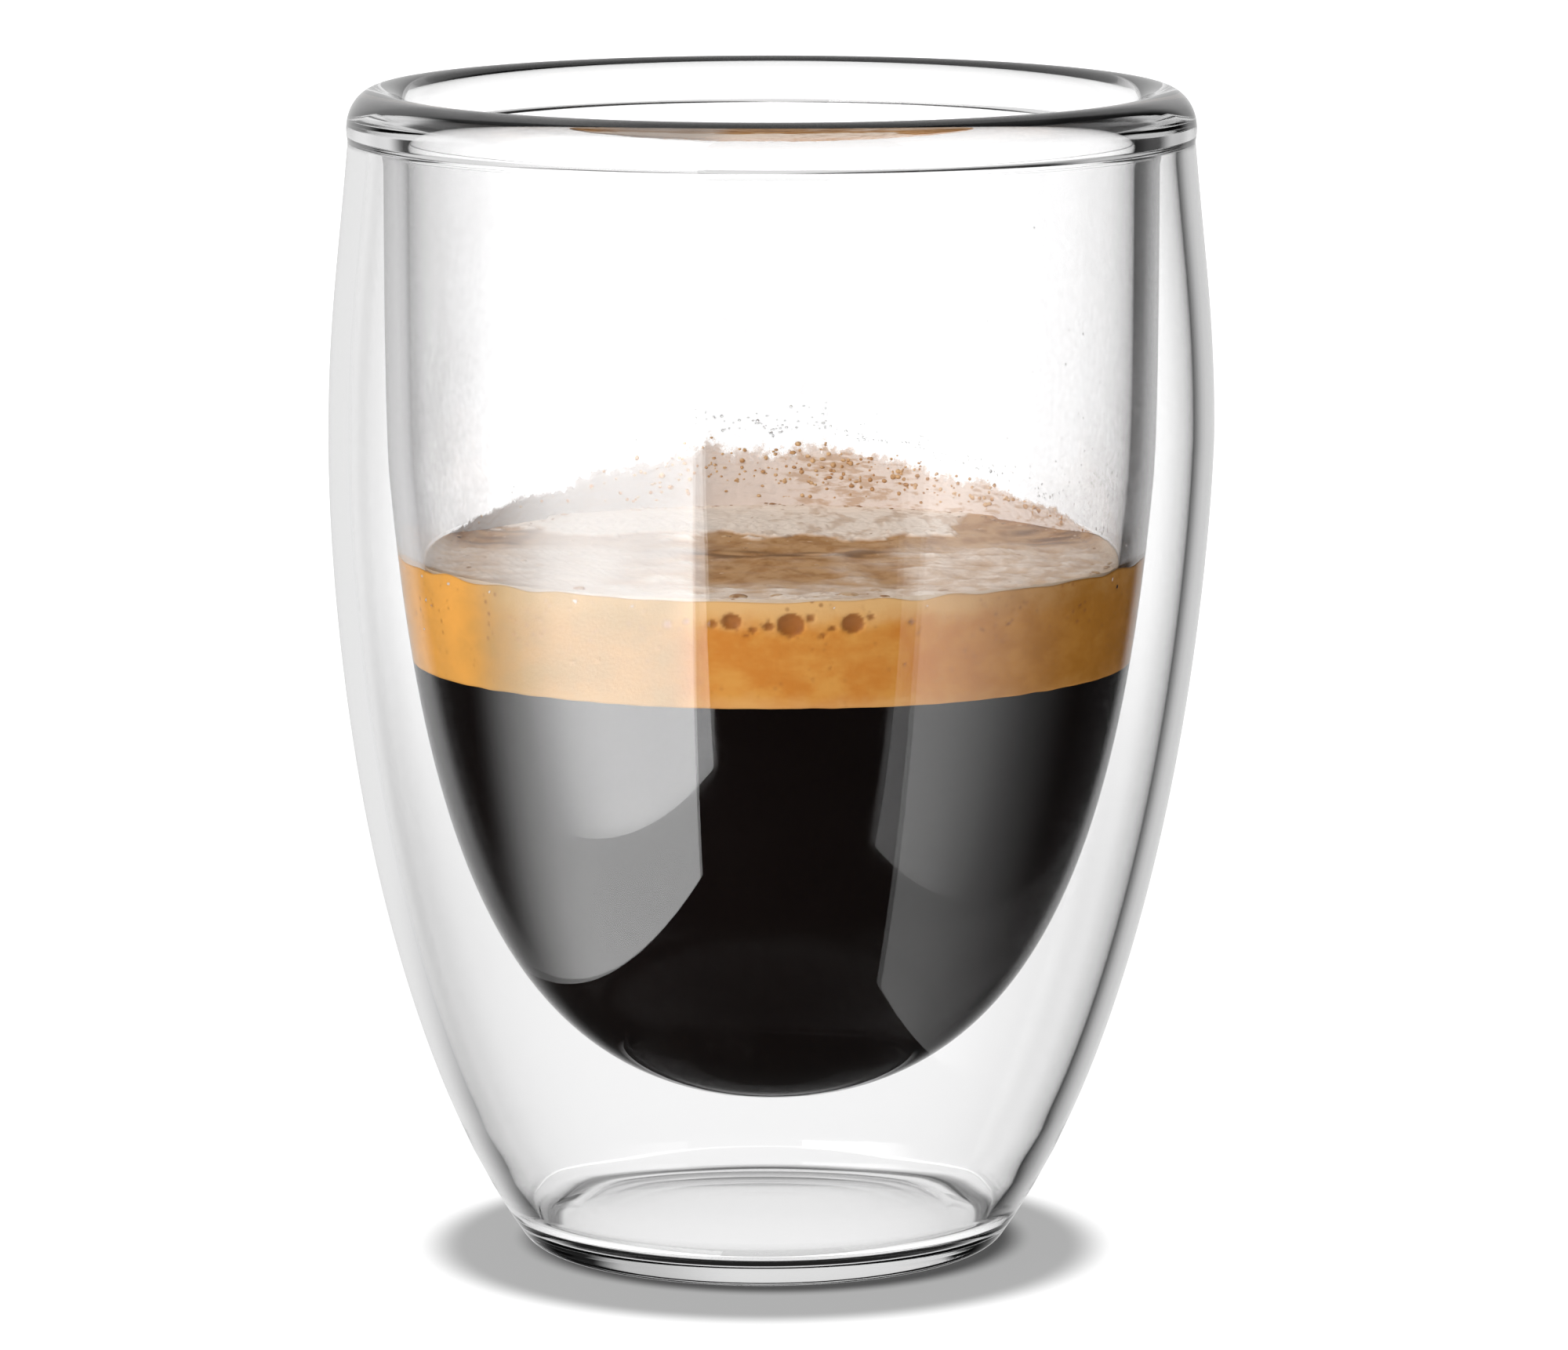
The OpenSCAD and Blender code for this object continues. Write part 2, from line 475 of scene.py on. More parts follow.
@dataclass(frozen=True)
class Mist(Finish):
    """Breath of steam on the inner wall: a pale haze, blotchy and denser near the drink."""

    haze: Colour = colour(0.74, 0.74, 0.75)
    blot_size: float = 0.8 * MM
    drift_size: float = 9.0 * MM
    most: float = 0.6

    def write(self, recipe: Recipe) -> Socket:
        """The mesh carries the haze's strength, which two sizes of blots break up."""
        place = recipe.place()
        blots = recipe.cloud(place, self.blot_size, 3.0, 0.7).between(0.3, 0.7)
        drift = recipe.cloud(place, self.drift_size, 3.0).between(0.2, 0.8)
        return recipe.principled(
            Base_Color=self.haze,
            Roughness=0.7,
            Specular_IOR_Level=0.0,
            Alpha=recipe.carried("haze") * (blots * 0.25 + drift * 0.75) * self.most,
        )


@dataclass(frozen=True)
class Droplet(Finish):
    """Clear drops, seen through the glass that they hang on."""

    tint: Colour = grey(0.97)
    ior: float = 1.33

    def write(self, recipe: Recipe) -> Socket:
        """A drop that bends light, and lets light for matt surfaces straight through."""
        place = recipe.place()
        water = recipe.principled(
            Base_Color=self.tint,
            Roughness=recipe.cloud(place, 3.0 * MM) * 0.05,
            IOR=self.ior,
            Transmission_Weight=1.0,
        )
        return recipe.light_through(water, self.tint)


@dataclass(frozen=True)
class FoamBead(Finish):
    """Small beads of foam and coffee, with a dull shine and an uneven brown."""

    light: Colour = colour(0.68, 0.44, 0.23)
    dark: Colour = colour(0.48, 0.25, 0.1)
    patch_size: float = 1.1 * MM

    def write(self, recipe: Recipe) -> Socket:
        """Each bead takes its brown from where it lies."""
        place = recipe.place()
        share = recipe.cloud(place, self.patch_size, 2.0, 0.7).between(0.4, 0.6)
        return recipe.principled(
            Base_Color=recipe.mixed(share, self.light, self.dark),
            Roughness=share * 0.2 + 0.4,
            Specular_IOR_Level=0.4,
        )


GLASS = ClearGlass("clear_glass", "glass")
COFFEE = BlackCoffee("black_coffee", "coffee")
CREMA = GoldenCrema("golden_crema", "crema")
FROTH = Froth("froth", "crema")
LACING = Lacing("lacing", "crema")
MIST = Mist("mist", "glass")
DEW = Droplet("dew", "glass")
BEAD = FoamBead("foam_bead", "crema")
BUBBLE = FoamBead("top_bubble", "crema", colour(0.55, 0.36, 0.2), colour(0.3, 0.15, 0.06))


# ---------------------------------------------------------------------------
# Surfaces
# ---------------------------------------------------------------------------


def placed(name: str, data: bpy.types.ID) -> bpy.types.Object:
    """Puts an object into the scene, at the origin."""
    made = bpy.data.objects.new(name, data)
    bpy.context.scene.collection.objects.link(made)
    return made


def put_mesh(
    name: str,
    points: np.ndarray,
    faces: list[np.ndarray],
    finish: Finish,
    carried: dict[str, np.ndarray] | None = None,
) -> bpy.types.Object:
    """Makes a smooth mesh object at the origin and dresses it.

    Args:
        name: The piece's name.
        points: One row of three coordinates for each vertex.
        faces: Arrays of vertex numbers, one row for each face.
        finish: What the piece is made of.
        carried: Numbers to keep at each vertex, by name.

    Returns:
        The object, which rides on the body and wears the finish's material.
    """
    mesh = bpy.data.meshes.new(name)
    corners = np.concatenate([part.ravel() for part in faces]).astype(np.int32)
    sizes = np.concatenate([np.full(len(part), part.shape[1]) for part in faces])
    mesh.vertices.add(len(points))
    mesh.vertices.foreach_set("co", np.ascontiguousarray(points, dtype=np.float32).ravel())
    mesh.loops.add(len(corners))
    mesh.loops.foreach_set("vertex_index", corners)
    mesh.polygons.add(len(sizes))
    starts = np.concatenate([[0], np.cumsum(sizes)[:-1]]).astype(np.int32)
    mesh.polygons.foreach_set("loop_start", starts)
    mesh.polygons.foreach_set("use_smooth", np.ones(len(sizes), dtype=bool))
    mesh.update(calc_edges=True)
    mesh.validate()
    for key, values in (carried or {}).items():
        attribute = mesh.attributes.new(key, "FLOAT", "POINT")
        attribute.data.foreach_set("value", np.asarray(values, dtype=np.float32).ravel())
    mesh.materials.append(finish.material())
    piece = placed(name, mesh)
    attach(piece, "root")
    return piece


def grid_faces(rows: int, columns: int, first: int = 0) -> np.ndarray:
    """Quads of a grid whose columns close into a ring.

    Args:
        rows: How many rings of vertices there are.
        columns: How many vertices each ring has.
        first: The number of the grid's first vertex.

    Returns:
        One row of four vertex numbers for each quad, which faces away from the axis when
        rings climb and columns run anticlockwise.
    """
    row, column = np.meshgrid(np.arange(rows - 1), np.arange(columns), indexing="ij")
    beside = (column + 1) % columns
    near, far = row * columns, (row + 1) * columns
    quads = np.stack([near + column, near + beside, far + beside, far + column], axis=-1)
    return quads.reshape(-1, 4) + first


def fan_faces(pole: int, ring: np.ndarray, up: bool) -> np.ndarray:
    """Triangles that close a ring at a pole, facing up or down."""
    beside = np.roll(ring, -1)
    centre = np.full(len(ring), pole)
    order = [centre, ring, beside] if up else [centre, beside, ring]
    return np.stack(order, axis=-1)


def skin_faces(rows: int, columns: int, first: int = 0) -> list[np.ndarray]:
    """Faces of a grid of rings whose ends are closed by poles.

    Args:
        rows: How many rings there are.
        columns: How many vertices each ring has.
        first: The number of the grid's first vertex; the lower and the upper pole follow the
            grid's last.

    Returns:
        The grid's quads, and the fans at its lower and its upper end.
    """
    pole = first + rows * columns
    ring = first + np.arange(columns)
    return [
        grid_faces(rows, columns, first),
        fan_faces(pole, ring, up=False),
        fan_faces(pole + 1, (rows - 1) * columns + ring, up=True),
    ]


def whole_turn(columns: int) -> np.ndarray:
    """Angles of a ring's vertices, anticlockwise from the left."""
    return np.linspace(-np.pi, np.pi, columns, endpoint=False)


def around(r: np.ndarray | float, w: np.ndarray, z: np.ndarray | float) -> np.ndarray:
    """Places at distances r from the axis, angles w about it and heights z."""
    return np.stack(np.broadcast_arrays(r * np.cos(w), r * np.sin(w), z), axis=-1)


def wall_line(w: np.ndarray) -> np.ndarray:
    """Level places along the drink's edge, for noise that runs round it."""
    return np.stack([np.cos(w), np.sin(w)], axis=-1) * DRINK_R


def wall_shell(
    back: np.ndarray, front: np.ndarray, w: np.ndarray, z: np.ndarray
) -> tuple[np.ndarray, list[np.ndarray]]:
    """Thin closed shell between two distances from the axis.

    Args:
        back: Distances of its outer side, one row for each level from the lowest up.
        front: Distances of the side that faces the axis.
        w: Angles of its columns.
        z: Heights.

    Returns:
        The vertices, up the back and down the front, and the faces as arrays.
    """
    points = np.concatenate([around(back, w, z), around(front, w, z)[::-1]])
    rows, columns = points.shape[:2]
    ring = np.arange(columns)
    beside = np.roll(ring, -1)
    last = (rows - 1) * columns
    closing = np.stack([last + ring, last + beside, beside, ring], axis=-1)
    return points.reshape(-1, 3), [grid_faces(rows, columns), closing]


def both_sides(values: np.ndarray) -> np.ndarray:
    """Numbers for a shell's vertices, the same on its back and its front."""
    return np.concatenate([values, values[::-1]])


def bezier(handles: np.ndarray, steps: int, inset: float = 0.0) -> np.ndarray:
    """Bezier curve of four handles, moved to the left of its travel.

    A point is the handles' average, weighted by the cubic Bernstein polynomials, plus inset
    times the unit vector at a right angle to the curve's slope there.

    Args:
        handles: Four [radius, height] rows.
        steps: How many stretches the curve is cut into.
        inset: How far the curve is moved.

    Returns:
        steps + 1 rows.
    """
    t = np.linspace(0.0, 1.0, steps + 1)[:, None]
    p = handles
    at = (1 - t) ** 3 * p[0] + 3 * (1 - t) ** 2 * t * p[1] + 3 * (1 - t) * t**2 * p[2] + t**3 * p[3]
    slope = (1 - t) ** 2 * (p[1] - p[0]) + 2 * (1 - t) * t * (p[2] - p[1]) + t**2 * (p[3] - p[2])
    left = np.stack([-slope[:, 1], slope[:, 0]], axis=-1)
    return at + inset * left / np.linalg.norm(left, axis=1, keepdims=True)


def arc(
    centre: tuple[float, float], across: float, tall: float, start: float, end: float, steps: int
) -> np.ndarray:
    """Arc of an ellipse, from start to end degrees, with its two half-axes."""
    w = np.radians(np.linspace(start, end, steps + 1))
    return np.stack([centre[0] + across * np.cos(w), centre[1] + tall * np.sin(w)], axis=-1)


def turned(outline: np.ndarray, columns: int, first: int = 0) -> tuple[np.ndarray, list[np.ndarray]]:
    """Turns an outline about the upright axis into a closed skin.

    The vertex at angle w for the outline's row [r, z] is (r cos w, r sin w, z). The first and
    last rows lie on the axis and become poles.

    Args:
        outline: Rows that run anticlockwise round the solid, from axis to axis.
        columns: How many vertices each ring has.
        first: The number of the skin's first vertex.

    Returns:
        The vertices, and the faces as arrays.
    """
    rings = outline[1:-1]
    w = np.linspace(0.0, 2 * np.pi, columns, endpoint=False)
    points = around(rings[:, :1], w, rings[:, 1:]).reshape(-1, 3)
    poles = np.array([[0.0, 0.0, outline[0, 1]], [0.0, 0.0, outline[-1, 1]]])
    return np.concatenate([points, poles]), skin_faces(len(rings), columns, first)


def ripples(points: np.ndarray, length: float, seed: int, waves: int = 24) -> np.ndarray:
    """Smooth noise around 0 with a spread of about 1.

    It is the sum of sine waves in directions and phases drawn at random, whose lengths lie
    within a third of the one given, over the square root of half their number.

    Args:
        points: One row of coordinates for each value.
        length: The waves' typical length.
        seed: Where the random draws start.
        waves: How many waves are summed.

    Returns:
        One value for each row.
    """
    draw = np.random.default_rng(seed)
    direction = draw.normal(size=(waves, points.shape[-1]))
    direction /= np.linalg.norm(direction, axis=1, keepdims=True)
    pitch = 2 * np.pi / (length * draw.uniform(0.67, 1.33, waves))
    phase = draw.uniform(0.0, 2 * np.pi, waves)
    flat = points.reshape(-1, points.shape[-1])
    total = np.zeros(len(flat))
    for k in range(waves):
        total += np.sin(flat @ direction[k] * pitch[k] + phase[k])
    return (total / math.sqrt(waves / 2)).reshape(points.shape[:-1])


def eased(value: np.ndarray, low: float, high: float) -> np.ndarray:
    """Smooth step from 0 at low to 1 at high."""
    s = np.clip((value - low) / (high - low), 0.0, 1.0)
    return s * s * (3 - 2 * s)


@dataclass(frozen=True)
class DomeShape:
    """A small cap that is repeated: rings of corners under a top, closed by a flat base."""

    rings: int
    sides: int
    bulge: float

    def corners(self) -> np.ndarray:
        """Corners of a cap of radius 1: rings from the base up, the base's middle, and the top."""
        climb = np.radians(90.0 * np.arange(self.rings) / self.rings)[:, None]
        w = np.linspace(0.0, 2 * np.pi, self.sides, endpoint=False)
        rings = around(np.cos(climb), w, self.bulge * np.sin(climb)).reshape(-1, 3)
        return np.concatenate([rings, [[0.0, 0.0, 0.0], [0.0, 0.0, self.bulge]]])

    def faces(self) -> list[np.ndarray]:
        """The cap's quads, base fan and top fan."""
        return skin_faces(self.rings, self.sides)


def scattered(
    shape: DomeShape, places: np.ndarray, out: np.ndarray, sizes: np.ndarray, stretch: np.ndarray
) -> tuple[np.ndarray, list[np.ndarray]]:
    """Repeats one cap at many places.

    A corner (x, y, z) of the cap goes to place + size * (x a + stretch y b + z out), where a
    is level, b is at a right angle to it, and out is the way the cap faces.

    Args:
        shape: The cap.
        places: Where each cap's base is centred.
        out: The unit direction that each cap faces.
        sizes: Each cap's radius.
        stretch: Each cap's length along b over its width.

    Returns:
        The vertices, and the faces as arrays.
    """
    level = np.stack([-out[:, 1], out[:, 0], np.zeros(len(out))], axis=-1)
    flat = np.linalg.norm(level, axis=1) < 1e-6
    level[flat] = ACROSS
    a = level / np.linalg.norm(level, axis=1, keepdims=True)
    b = np.cross(out, a)
    local = shape.corners()
    cap = (
        local[None, :, :1] * a[:, None]
        + local[None, :, 1:2] * stretch[:, None, None] * b[:, None]
        + local[None, :, 2:] * out[:, None]
    )
    points = places[:, None] + sizes[:, None, None] * cap
    shift = (np.arange(len(places)) * len(local))[:, None, None]
    faces = [(part[None] + shift).reshape(-1, part.shape[1]) for part in shape.faces()]
    return points.reshape(-1, 3), faces


# ---------------------------------------------------------------------------
# The tumbler and its outlines
# ---------------------------------------------------------------------------


@dataclass
class Tumbler:
    """The double-walled tumbler: one solid of glass round a sealed gap of air.

    The height and the belly's width come from the CAD box. The rest repeats the CAD model's
    sizes, but for four things: a tighter corner low in the gap, faint rings above the foot,
    and an outer wall that wanders and leans a little.

    Attributes:
        rim_r: Radius of the outer wall under the rim.
        foot_r: Radius at which the outer wall's slant meets the table.
        foot_flare: How far out the slant leads, over a height of foot_rise.
        belly_h: Height of the widest place.
        mouth_gap: Width of the sealed gap under the rim; shoulder_gap is that at the shoulder.
        rim_h: Height of the rounded rim; rim_tuck is how many degrees it turns in under itself.
        foot_round: Radius of the foot's corner; gap_round is the gap's above it.
        ring_w: Width of the ring that the tumbler stands on; push_up is the rise inside it.
        cup_lift: Height of the inner cup's lowest place.
        shoulder_h: Height at which the inner cup's bowl passes into its neck.
        bowl_spread: Reach of the bowl's lower handle; bowl_flank and bowl_lean are how far
            down and in the upper one reaches.
        belly_ease: Share of the way that the belly's handles reach; likewise the other eases.
        rim_lean: Share of the belly's overhang that the upper wall's last handle keeps.
        wander: Depth of the outer wall's unevenness; wander_size is its length.
        foot_rings: Depth of the rings above the foot; ring_pitch is how far apart they lie.
        lean: How far the outer wall's foot stands to the left.
    """

    rim_r: float = 32.5 * MM
    foot_r: float = 18.3 * MM
    foot_flare: float = 13.1 * MM
    foot_rise: float = 18.8 * MM
    belly_h: float = 63.4 * MM
    outer_wall: float = 1.6 * MM
    inner_wall: float = 1.9 * MM
    base_wall: float = 2.0 * MM
    mouth_gap: float = 1.15 * MM
    shoulder_gap: float = 3.08 * MM
    rim_h: float = 3.9 * MM
    rim_tuck: float = 17.0
    foot_round: float = 2.0 * MM
    gap_round: float = 2.2 * MM
    ring_w: float = 1.5 * MM
    push_up: float = 1.1 * MM
    cup_lift: float = 11.8 * MM
    shoulder_h: float = 60.1 * MM
    bowl_spread: float = 21.6 * MM
    bowl_flank: float = 26.4 * MM
    bowl_lean: float = 2.25 * MM
    belly_ease: float = 0.5
    rim_ease: float = 0.38
    rim_lean: float = 0.45
    shoulder_ease: float = 0.15
    mouth_ease: float = 0.4
    curve_steps: int = 44
    corner_steps: int = 14
    columns: int = 210
    wander: float = 0.018 * MM
    wander_size: float = 30 * MM
    foot_rings: float = 0.022 * MM
    ring_pitch: float = 2.3 * MM
    lean: float = 0.65 * MM
    height: float = field(init=False)
    belly_r: float = field(init=False)
    rim_z: float = field(init=False)
    shoulder_r: float = field(init=False)
    cup_mouth_r: float = field(init=False)
    mouth_r: float = field(init=False)
    foot_angle: float = field(init=False)

    def __post_init__(self) -> None:
        """Takes the overall size from the CAD box and works out what hangs on it."""
        low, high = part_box("glass")
        self.height = high.z
        self.belly_r = (high.x - low.x) / 2
        self.rim_z = self.height - self.rim_h
        self.shoulder_r = self.belly_r - self.outer_wall - self.shoulder_gap
        self.cup_mouth_r = self.rim_r - self.outer_wall - self.mouth_gap
        self.mouth_r = self.cup_mouth_r - self.inner_wall
        self.foot_angle = math.degrees(math.atan2(self.foot_rise, self.foot_flare))
        inside = self.cup_inside()
        self._inside_z, self._inside_r = inside[:, 1], inside[:, 0]

    def lower_wall(self) -> np.ndarray:
        """Handles of the outer wall from the foot to the belly."""
        start = self.foot_corner(self.foot_r, 0.0, self.foot_round)[-1]
        rise = self.belly_ease * (self.belly_h - self.foot_rise) / 2
        return np.array([
            start,
            [self.foot_r + self.foot_flare, self.foot_rise],
            [self.belly_r, self.belly_h - rise],
            [self.belly_r, self.belly_h],
        ])

    def upper_wall(self) -> np.ndarray:
        """Handles of the outer wall from the belly to the rim."""
        rise = self.rim_ease * (self.rim_z - self.belly_h)
        lean = self.rim_r + self.rim_lean * (self.belly_r - self.rim_r)
        return np.array([
            [self.belly_r, self.belly_h],
            [self.belly_r, self.belly_h + rise],
            [lean, self.rim_z - rise],
            [self.rim_r, self.rim_z],
        ])

    def bowl(self) -> np.ndarray:
        """Handles of the inner cup's outside from its bottom to its shoulder."""
        return np.array([
            [0.0, self.cup_lift],
            [self.bowl_spread, self.cup_lift],
            [self.shoulder_r - self.bowl_lean, self.shoulder_h - self.bowl_flank],
            [self.shoulder_r, self.shoulder_h],
        ])

    def neck(self) -> np.ndarray:
        """Handles of the inner cup's outside from its shoulder to its mouth."""
        tall = self.rim_z - self.shoulder_h
        lean = self.shoulder_ease * tall * self.bowl_lean / self.bowl_flank
        return np.array([
            [self.shoulder_r, self.shoulder_h],
            [self.shoulder_r + lean, self.shoulder_h + self.shoulder_ease * tall],
            [self.cup_mouth_r, self.rim_z - self.mouth_ease * tall],
            [self.cup_mouth_r, self.rim_z],
        ])

    def foot_corner(self, x: float, z: float, radius: float) -> np.ndarray:
        """Rounded corner between the level z and the foot's slanted wall, which meets it at x."""
        reach = radius * math.tan(math.radians(self.foot_angle / 2))
        return arc((x - reach, z + radius), radius, radius, -90.0, -90.0 + self.foot_angle,
                   self.corner_steps)

    def dome(self, z: float, radius: float) -> np.ndarray:
        """Push-up of the base: a parabola that falls to z at the radius, from the middle out."""
        s = np.linspace(0.0, 1.0, self.corner_steps + 1)
        return np.stack([s * radius, z + self.push_up * (1 - s * s)], axis=-1)

    def cup_inside(self, inset: float | None = None) -> np.ndarray:
        """The cup's inside from the middle of its floor to its mouth, or a skin beside it."""
        depth = self.inner_wall if inset is None else inset
        bowl = bezier(self.bowl(), self.curve_steps, depth)
        bowl[0, 0] = 0.0
        return np.concatenate([bowl, bezier(self.neck(), self.curve_steps, depth)[1:]])

    def inside_r(self, z: np.ndarray) -> np.ndarray:
        """Radius of the cup's inside at a height."""
        return np.interp(z, self._inside_z, self._inside_r)

    def rim_section(self) -> np.ndarray:
        """The rounded rim, from the outer wall over the crest to the inside."""
        tuck = math.radians(self.rim_tuck)
        across = (self.rim_r - self.mouth_r) / 2 / math.cos(tuck)
        tall = self.rim_h / (1 + math.sin(tuck))
        centre = ((self.rim_r + self.mouth_r) / 2, self.height - tall)
        return arc(centre, across, tall, -self.rim_tuck, 180 + self.rim_tuck, 3 * self.corner_steps)

    def outer_skin(self) -> np.ndarray:
        """The glass's underside and outer wall, from the axis up to the rim."""
        corner = self.foot_corner(self.foot_r, 0.0, self.foot_round)
        return np.concatenate([
            self.dome(0.0, corner[0, 0] - self.ring_w),
            corner,
            bezier(self.lower_wall(), self.curve_steps)[1:],
            bezier(self.upper_wall(), self.curve_steps)[1:],
        ])

    def cup_skin(self) -> np.ndarray:
        """The rim and the cup's inside, down to the middle of its floor."""
        return np.concatenate([self.rim_section()[1:-1], self.cup_inside()[::-1]])

    def gap_outside(self) -> np.ndarray:
        """The sealed air's floor and outer side, from the axis up to its cap."""
        slant = math.radians(self.foot_angle)
        corner_x = self.foot_r - self.outer_wall / math.sin(slant) + self.base_wall / math.tan(slant)
        corner = self.foot_corner(corner_x, self.base_wall, self.gap_round)
        wall = np.concatenate([
            bezier(self.lower_wall(), self.curve_steps, self.outer_wall),
            bezier(self.upper_wall(), self.curve_steps, self.outer_wall)[1:],
        ])
        above = wall[wall[:, 1] > corner[-1, 1]]
        return np.concatenate([self.dome(self.base_wall, corner[0, 0]), corner[1:], above])

    def gap_inside(self) -> np.ndarray:
        """The sealed air's half-round cap and its side along the cup, down to the axis."""
        outside, inside = self.gap_outside()[-1], self.cup_inside(0.0)
        half = (outside - inside[-1]) / 2
        w = np.linspace(0.0, np.pi, self.corner_steps)[1:-1, None]
        left = np.array([-half[1], half[0]])
        cap = (outside + inside[-1]) / 2 + half * np.cos(w) + left * np.sin(w)
        return np.concatenate([cap, inside[::-1]])

    def blown(self, points: np.ndarray, outer: np.ndarray) -> np.ndarray:
        """Makes the outer wall a little uneven, and lets its foot stand a little to one side.

        A point of the outer wall moves in or out by wander times smooth noise, which dies away
        at the foot and the rim, and by foot_rings times a sine of its height just above the
        foot. It moves sideways by lean times one less the square of its height over the
        belly's, and not at all above the belly.

        Args:
            points: The glass's vertices.
            outer: 1 at vertices of the outer wall and 0 elsewhere.

        Returns:
            The moved vertices.
        """
        x, y, z = points.T
        level = np.maximum(np.hypot(x, y), 1e-9)
        flat = np.stack([20 * MM * x / level, 20 * MM * y / level, 0.7 * z], axis=-1)
        middle = eased(z, 2 * MM, 14 * MM) * (1 - eased(z, self.rim_z - 8 * MM, self.rim_z))
        swell = self.wander * middle * outer * ripples(flat, self.wander_size, 5) / level
        low = eased(z, 2.5 * MM, 5 * MM) * (1 - eased(z, 9 * MM, 13 * MM)) * outer
        swell += self.foot_rings * low * np.sin(2 * np.pi * z / self.ring_pitch) / level
        below = np.clip(1 - z / self.belly_h, 0.0, 1.0)
        aside = -self.lean * outer * below * (2 - below)
        return np.stack([x * (1 + swell) + aside, y * (1 + swell), z], axis=-1)

    def build(self) -> bpy.types.Object:
        """Makes the glass as two closed skins: its outside, and the sealed air's, turned in."""
        parts, faces, outer = [], [], []
        count = 0
        for first, second in (
            (self.outer_skin(), self.cup_skin()), (self.gap_outside(), self.gap_inside())
        ):
            points, skin = turned(np.concatenate([first, second]), self.columns, count)
            weight = np.concatenate([np.ones(len(first)), np.zeros(len(second))])
            outer.append(np.repeat(weight[1:-1], self.columns))
            outer.append(weight[[0, -1]])
            faces += [part[:, ::-1] for part in skin] if count else skin
            parts.append(points)
            count += len(points)
        points = self.blown(np.concatenate(parts), np.concatenate(outer))
        piece = put_mesh("tumbler", points, faces, GLASS)
        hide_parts("glass")
        return piece


# ---------------------------------------------------------------------------
# The drink
# ---------------------------------------------------------------------------


@dataclass
class Coffee:
    """The black coffee, which reaches just into the wall so that no air shows between them.

    Attributes:
        cup: The tumbler that holds it.
        bite: How far it reaches into the wall.
        over: How far it reaches up into the crema.
        columns: How many vertices each ring has.
    """

    cup: Tumbler
    bite: float = 0.05 * MM
    over: float = 0.4 * MM
    columns: int = 210

    def build(self) -> bpy.types.Object:
        """Turns the cup's inside, cut off a little above the crema's lower edge."""
        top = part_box("coffee")[1].z + self.over
        inside = self.cup.cup_inside(self.cup.inner_wall - self.bite)
        below = inside[inside[:, 1] < top]
        edge_r = float(np.interp(top, inside[:, 1], inside[:, 0]))
        lid = [[edge_r, top], [edge_r / 2, top], [0.0, top]]
        points, faces = turned(np.concatenate([below, lid]), self.columns)
        piece = put_mesh("black_coffee", points, faces, COFFEE)
        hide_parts("coffee")
        return piece


@dataclass
class Bubbles:
    """Bubbles pressed against the glass: where they are on the crema's side, and how large.

    Attributes:
        seed: Where the small ones' random draws start.
        large: Degrees about the axis, height and radius in millimetres.
        small_count: How many small ones there are.
        smallest: The least radius of a small one; small_most is the largest.
        sink: How deep a hollow is for its width.
        squash: How much wider than tall a hollow is.
    """

    seed: int = 11
    large: tuple[tuple[float, float, float], ...] = (
        (-99.0, 52.75, 0.36), (-96.1, 52.95, 0.72), (-92.8, 52.3, 0.3), (-90.4, 52.6, 0.42),
        (-87.0, 52.7, 1.0), (-84.0, 53.2, 0.34), (-80.6, 52.4, 0.3), (-77.4, 52.75, 0.84),
        (-74.6, 53.2, 0.3), (-103.0, 52.9, 0.26), (-106.0, 52.6, 0.3), (-93.8, 51.9, 0.2),
        (-82.0, 51.9, 0.22), (-68.0, 52.7, 0.24), (14.0, 52.6, 0.6),
        (48.0, 52.4, 0.5), (121.0, 52.8, 0.7), (127.0, 52.4, 0.4), (168.0, 52.5, 0.5),
    )
    small_count: int = 150
    smallest: float = 0.07 * MM
    small_most: float = 0.17 * MM
    sink: float = 0.4
    squash: float = 1.15

    def pits(self, angle: np.ndarray, z: np.ndarray, radius: float) -> np.ndarray:
        """Depth of the bubbles' hollows over a grid of angles and heights.

        A hollow is a flattened cap: its depth is sink times the root of its radius squared less
        the squared distance from its middle, in which heights count squash times. Where
        hollows overlap, the deeper counts.

        Args:
            angle: Angles about the axis.
            z: Heights.
            radius: The crema's radius, which turns an angle into a length.

        Returns:
            The depth at each grid point, in metres.
        """
        draw = np.random.default_rng(self.seed)
        low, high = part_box("crema")
        count = self.small_count
        turns, levels, radii = np.array(self.large).T
        angles = np.concatenate([np.radians(turns), draw.uniform(-np.pi, np.pi, count)])
        share = np.clip(draw.beta(4.0, 1.5, count), 0.15, 0.92)
        heights = np.concatenate([levels * MM, low.z + (high.z - low.z) * share])
        small = draw.uniform(self.smallest, self.small_most, count)
        sizes = np.concatenate([radii * MM, small])
        depth = np.zeros_like(angle)
        for w, h, size in zip(angles, heights, sizes):
            away = (angle - w + np.pi) % (2 * np.pi) - np.pi
            apart = ((away * radius) ** 2 + ((z - h) * self.squash) ** 2) / size**2
            hollow = self.sink * size * np.sqrt(np.clip(1 - apart, 0.0, 1.0))
            depth = np.maximum(depth, hollow)
        return depth


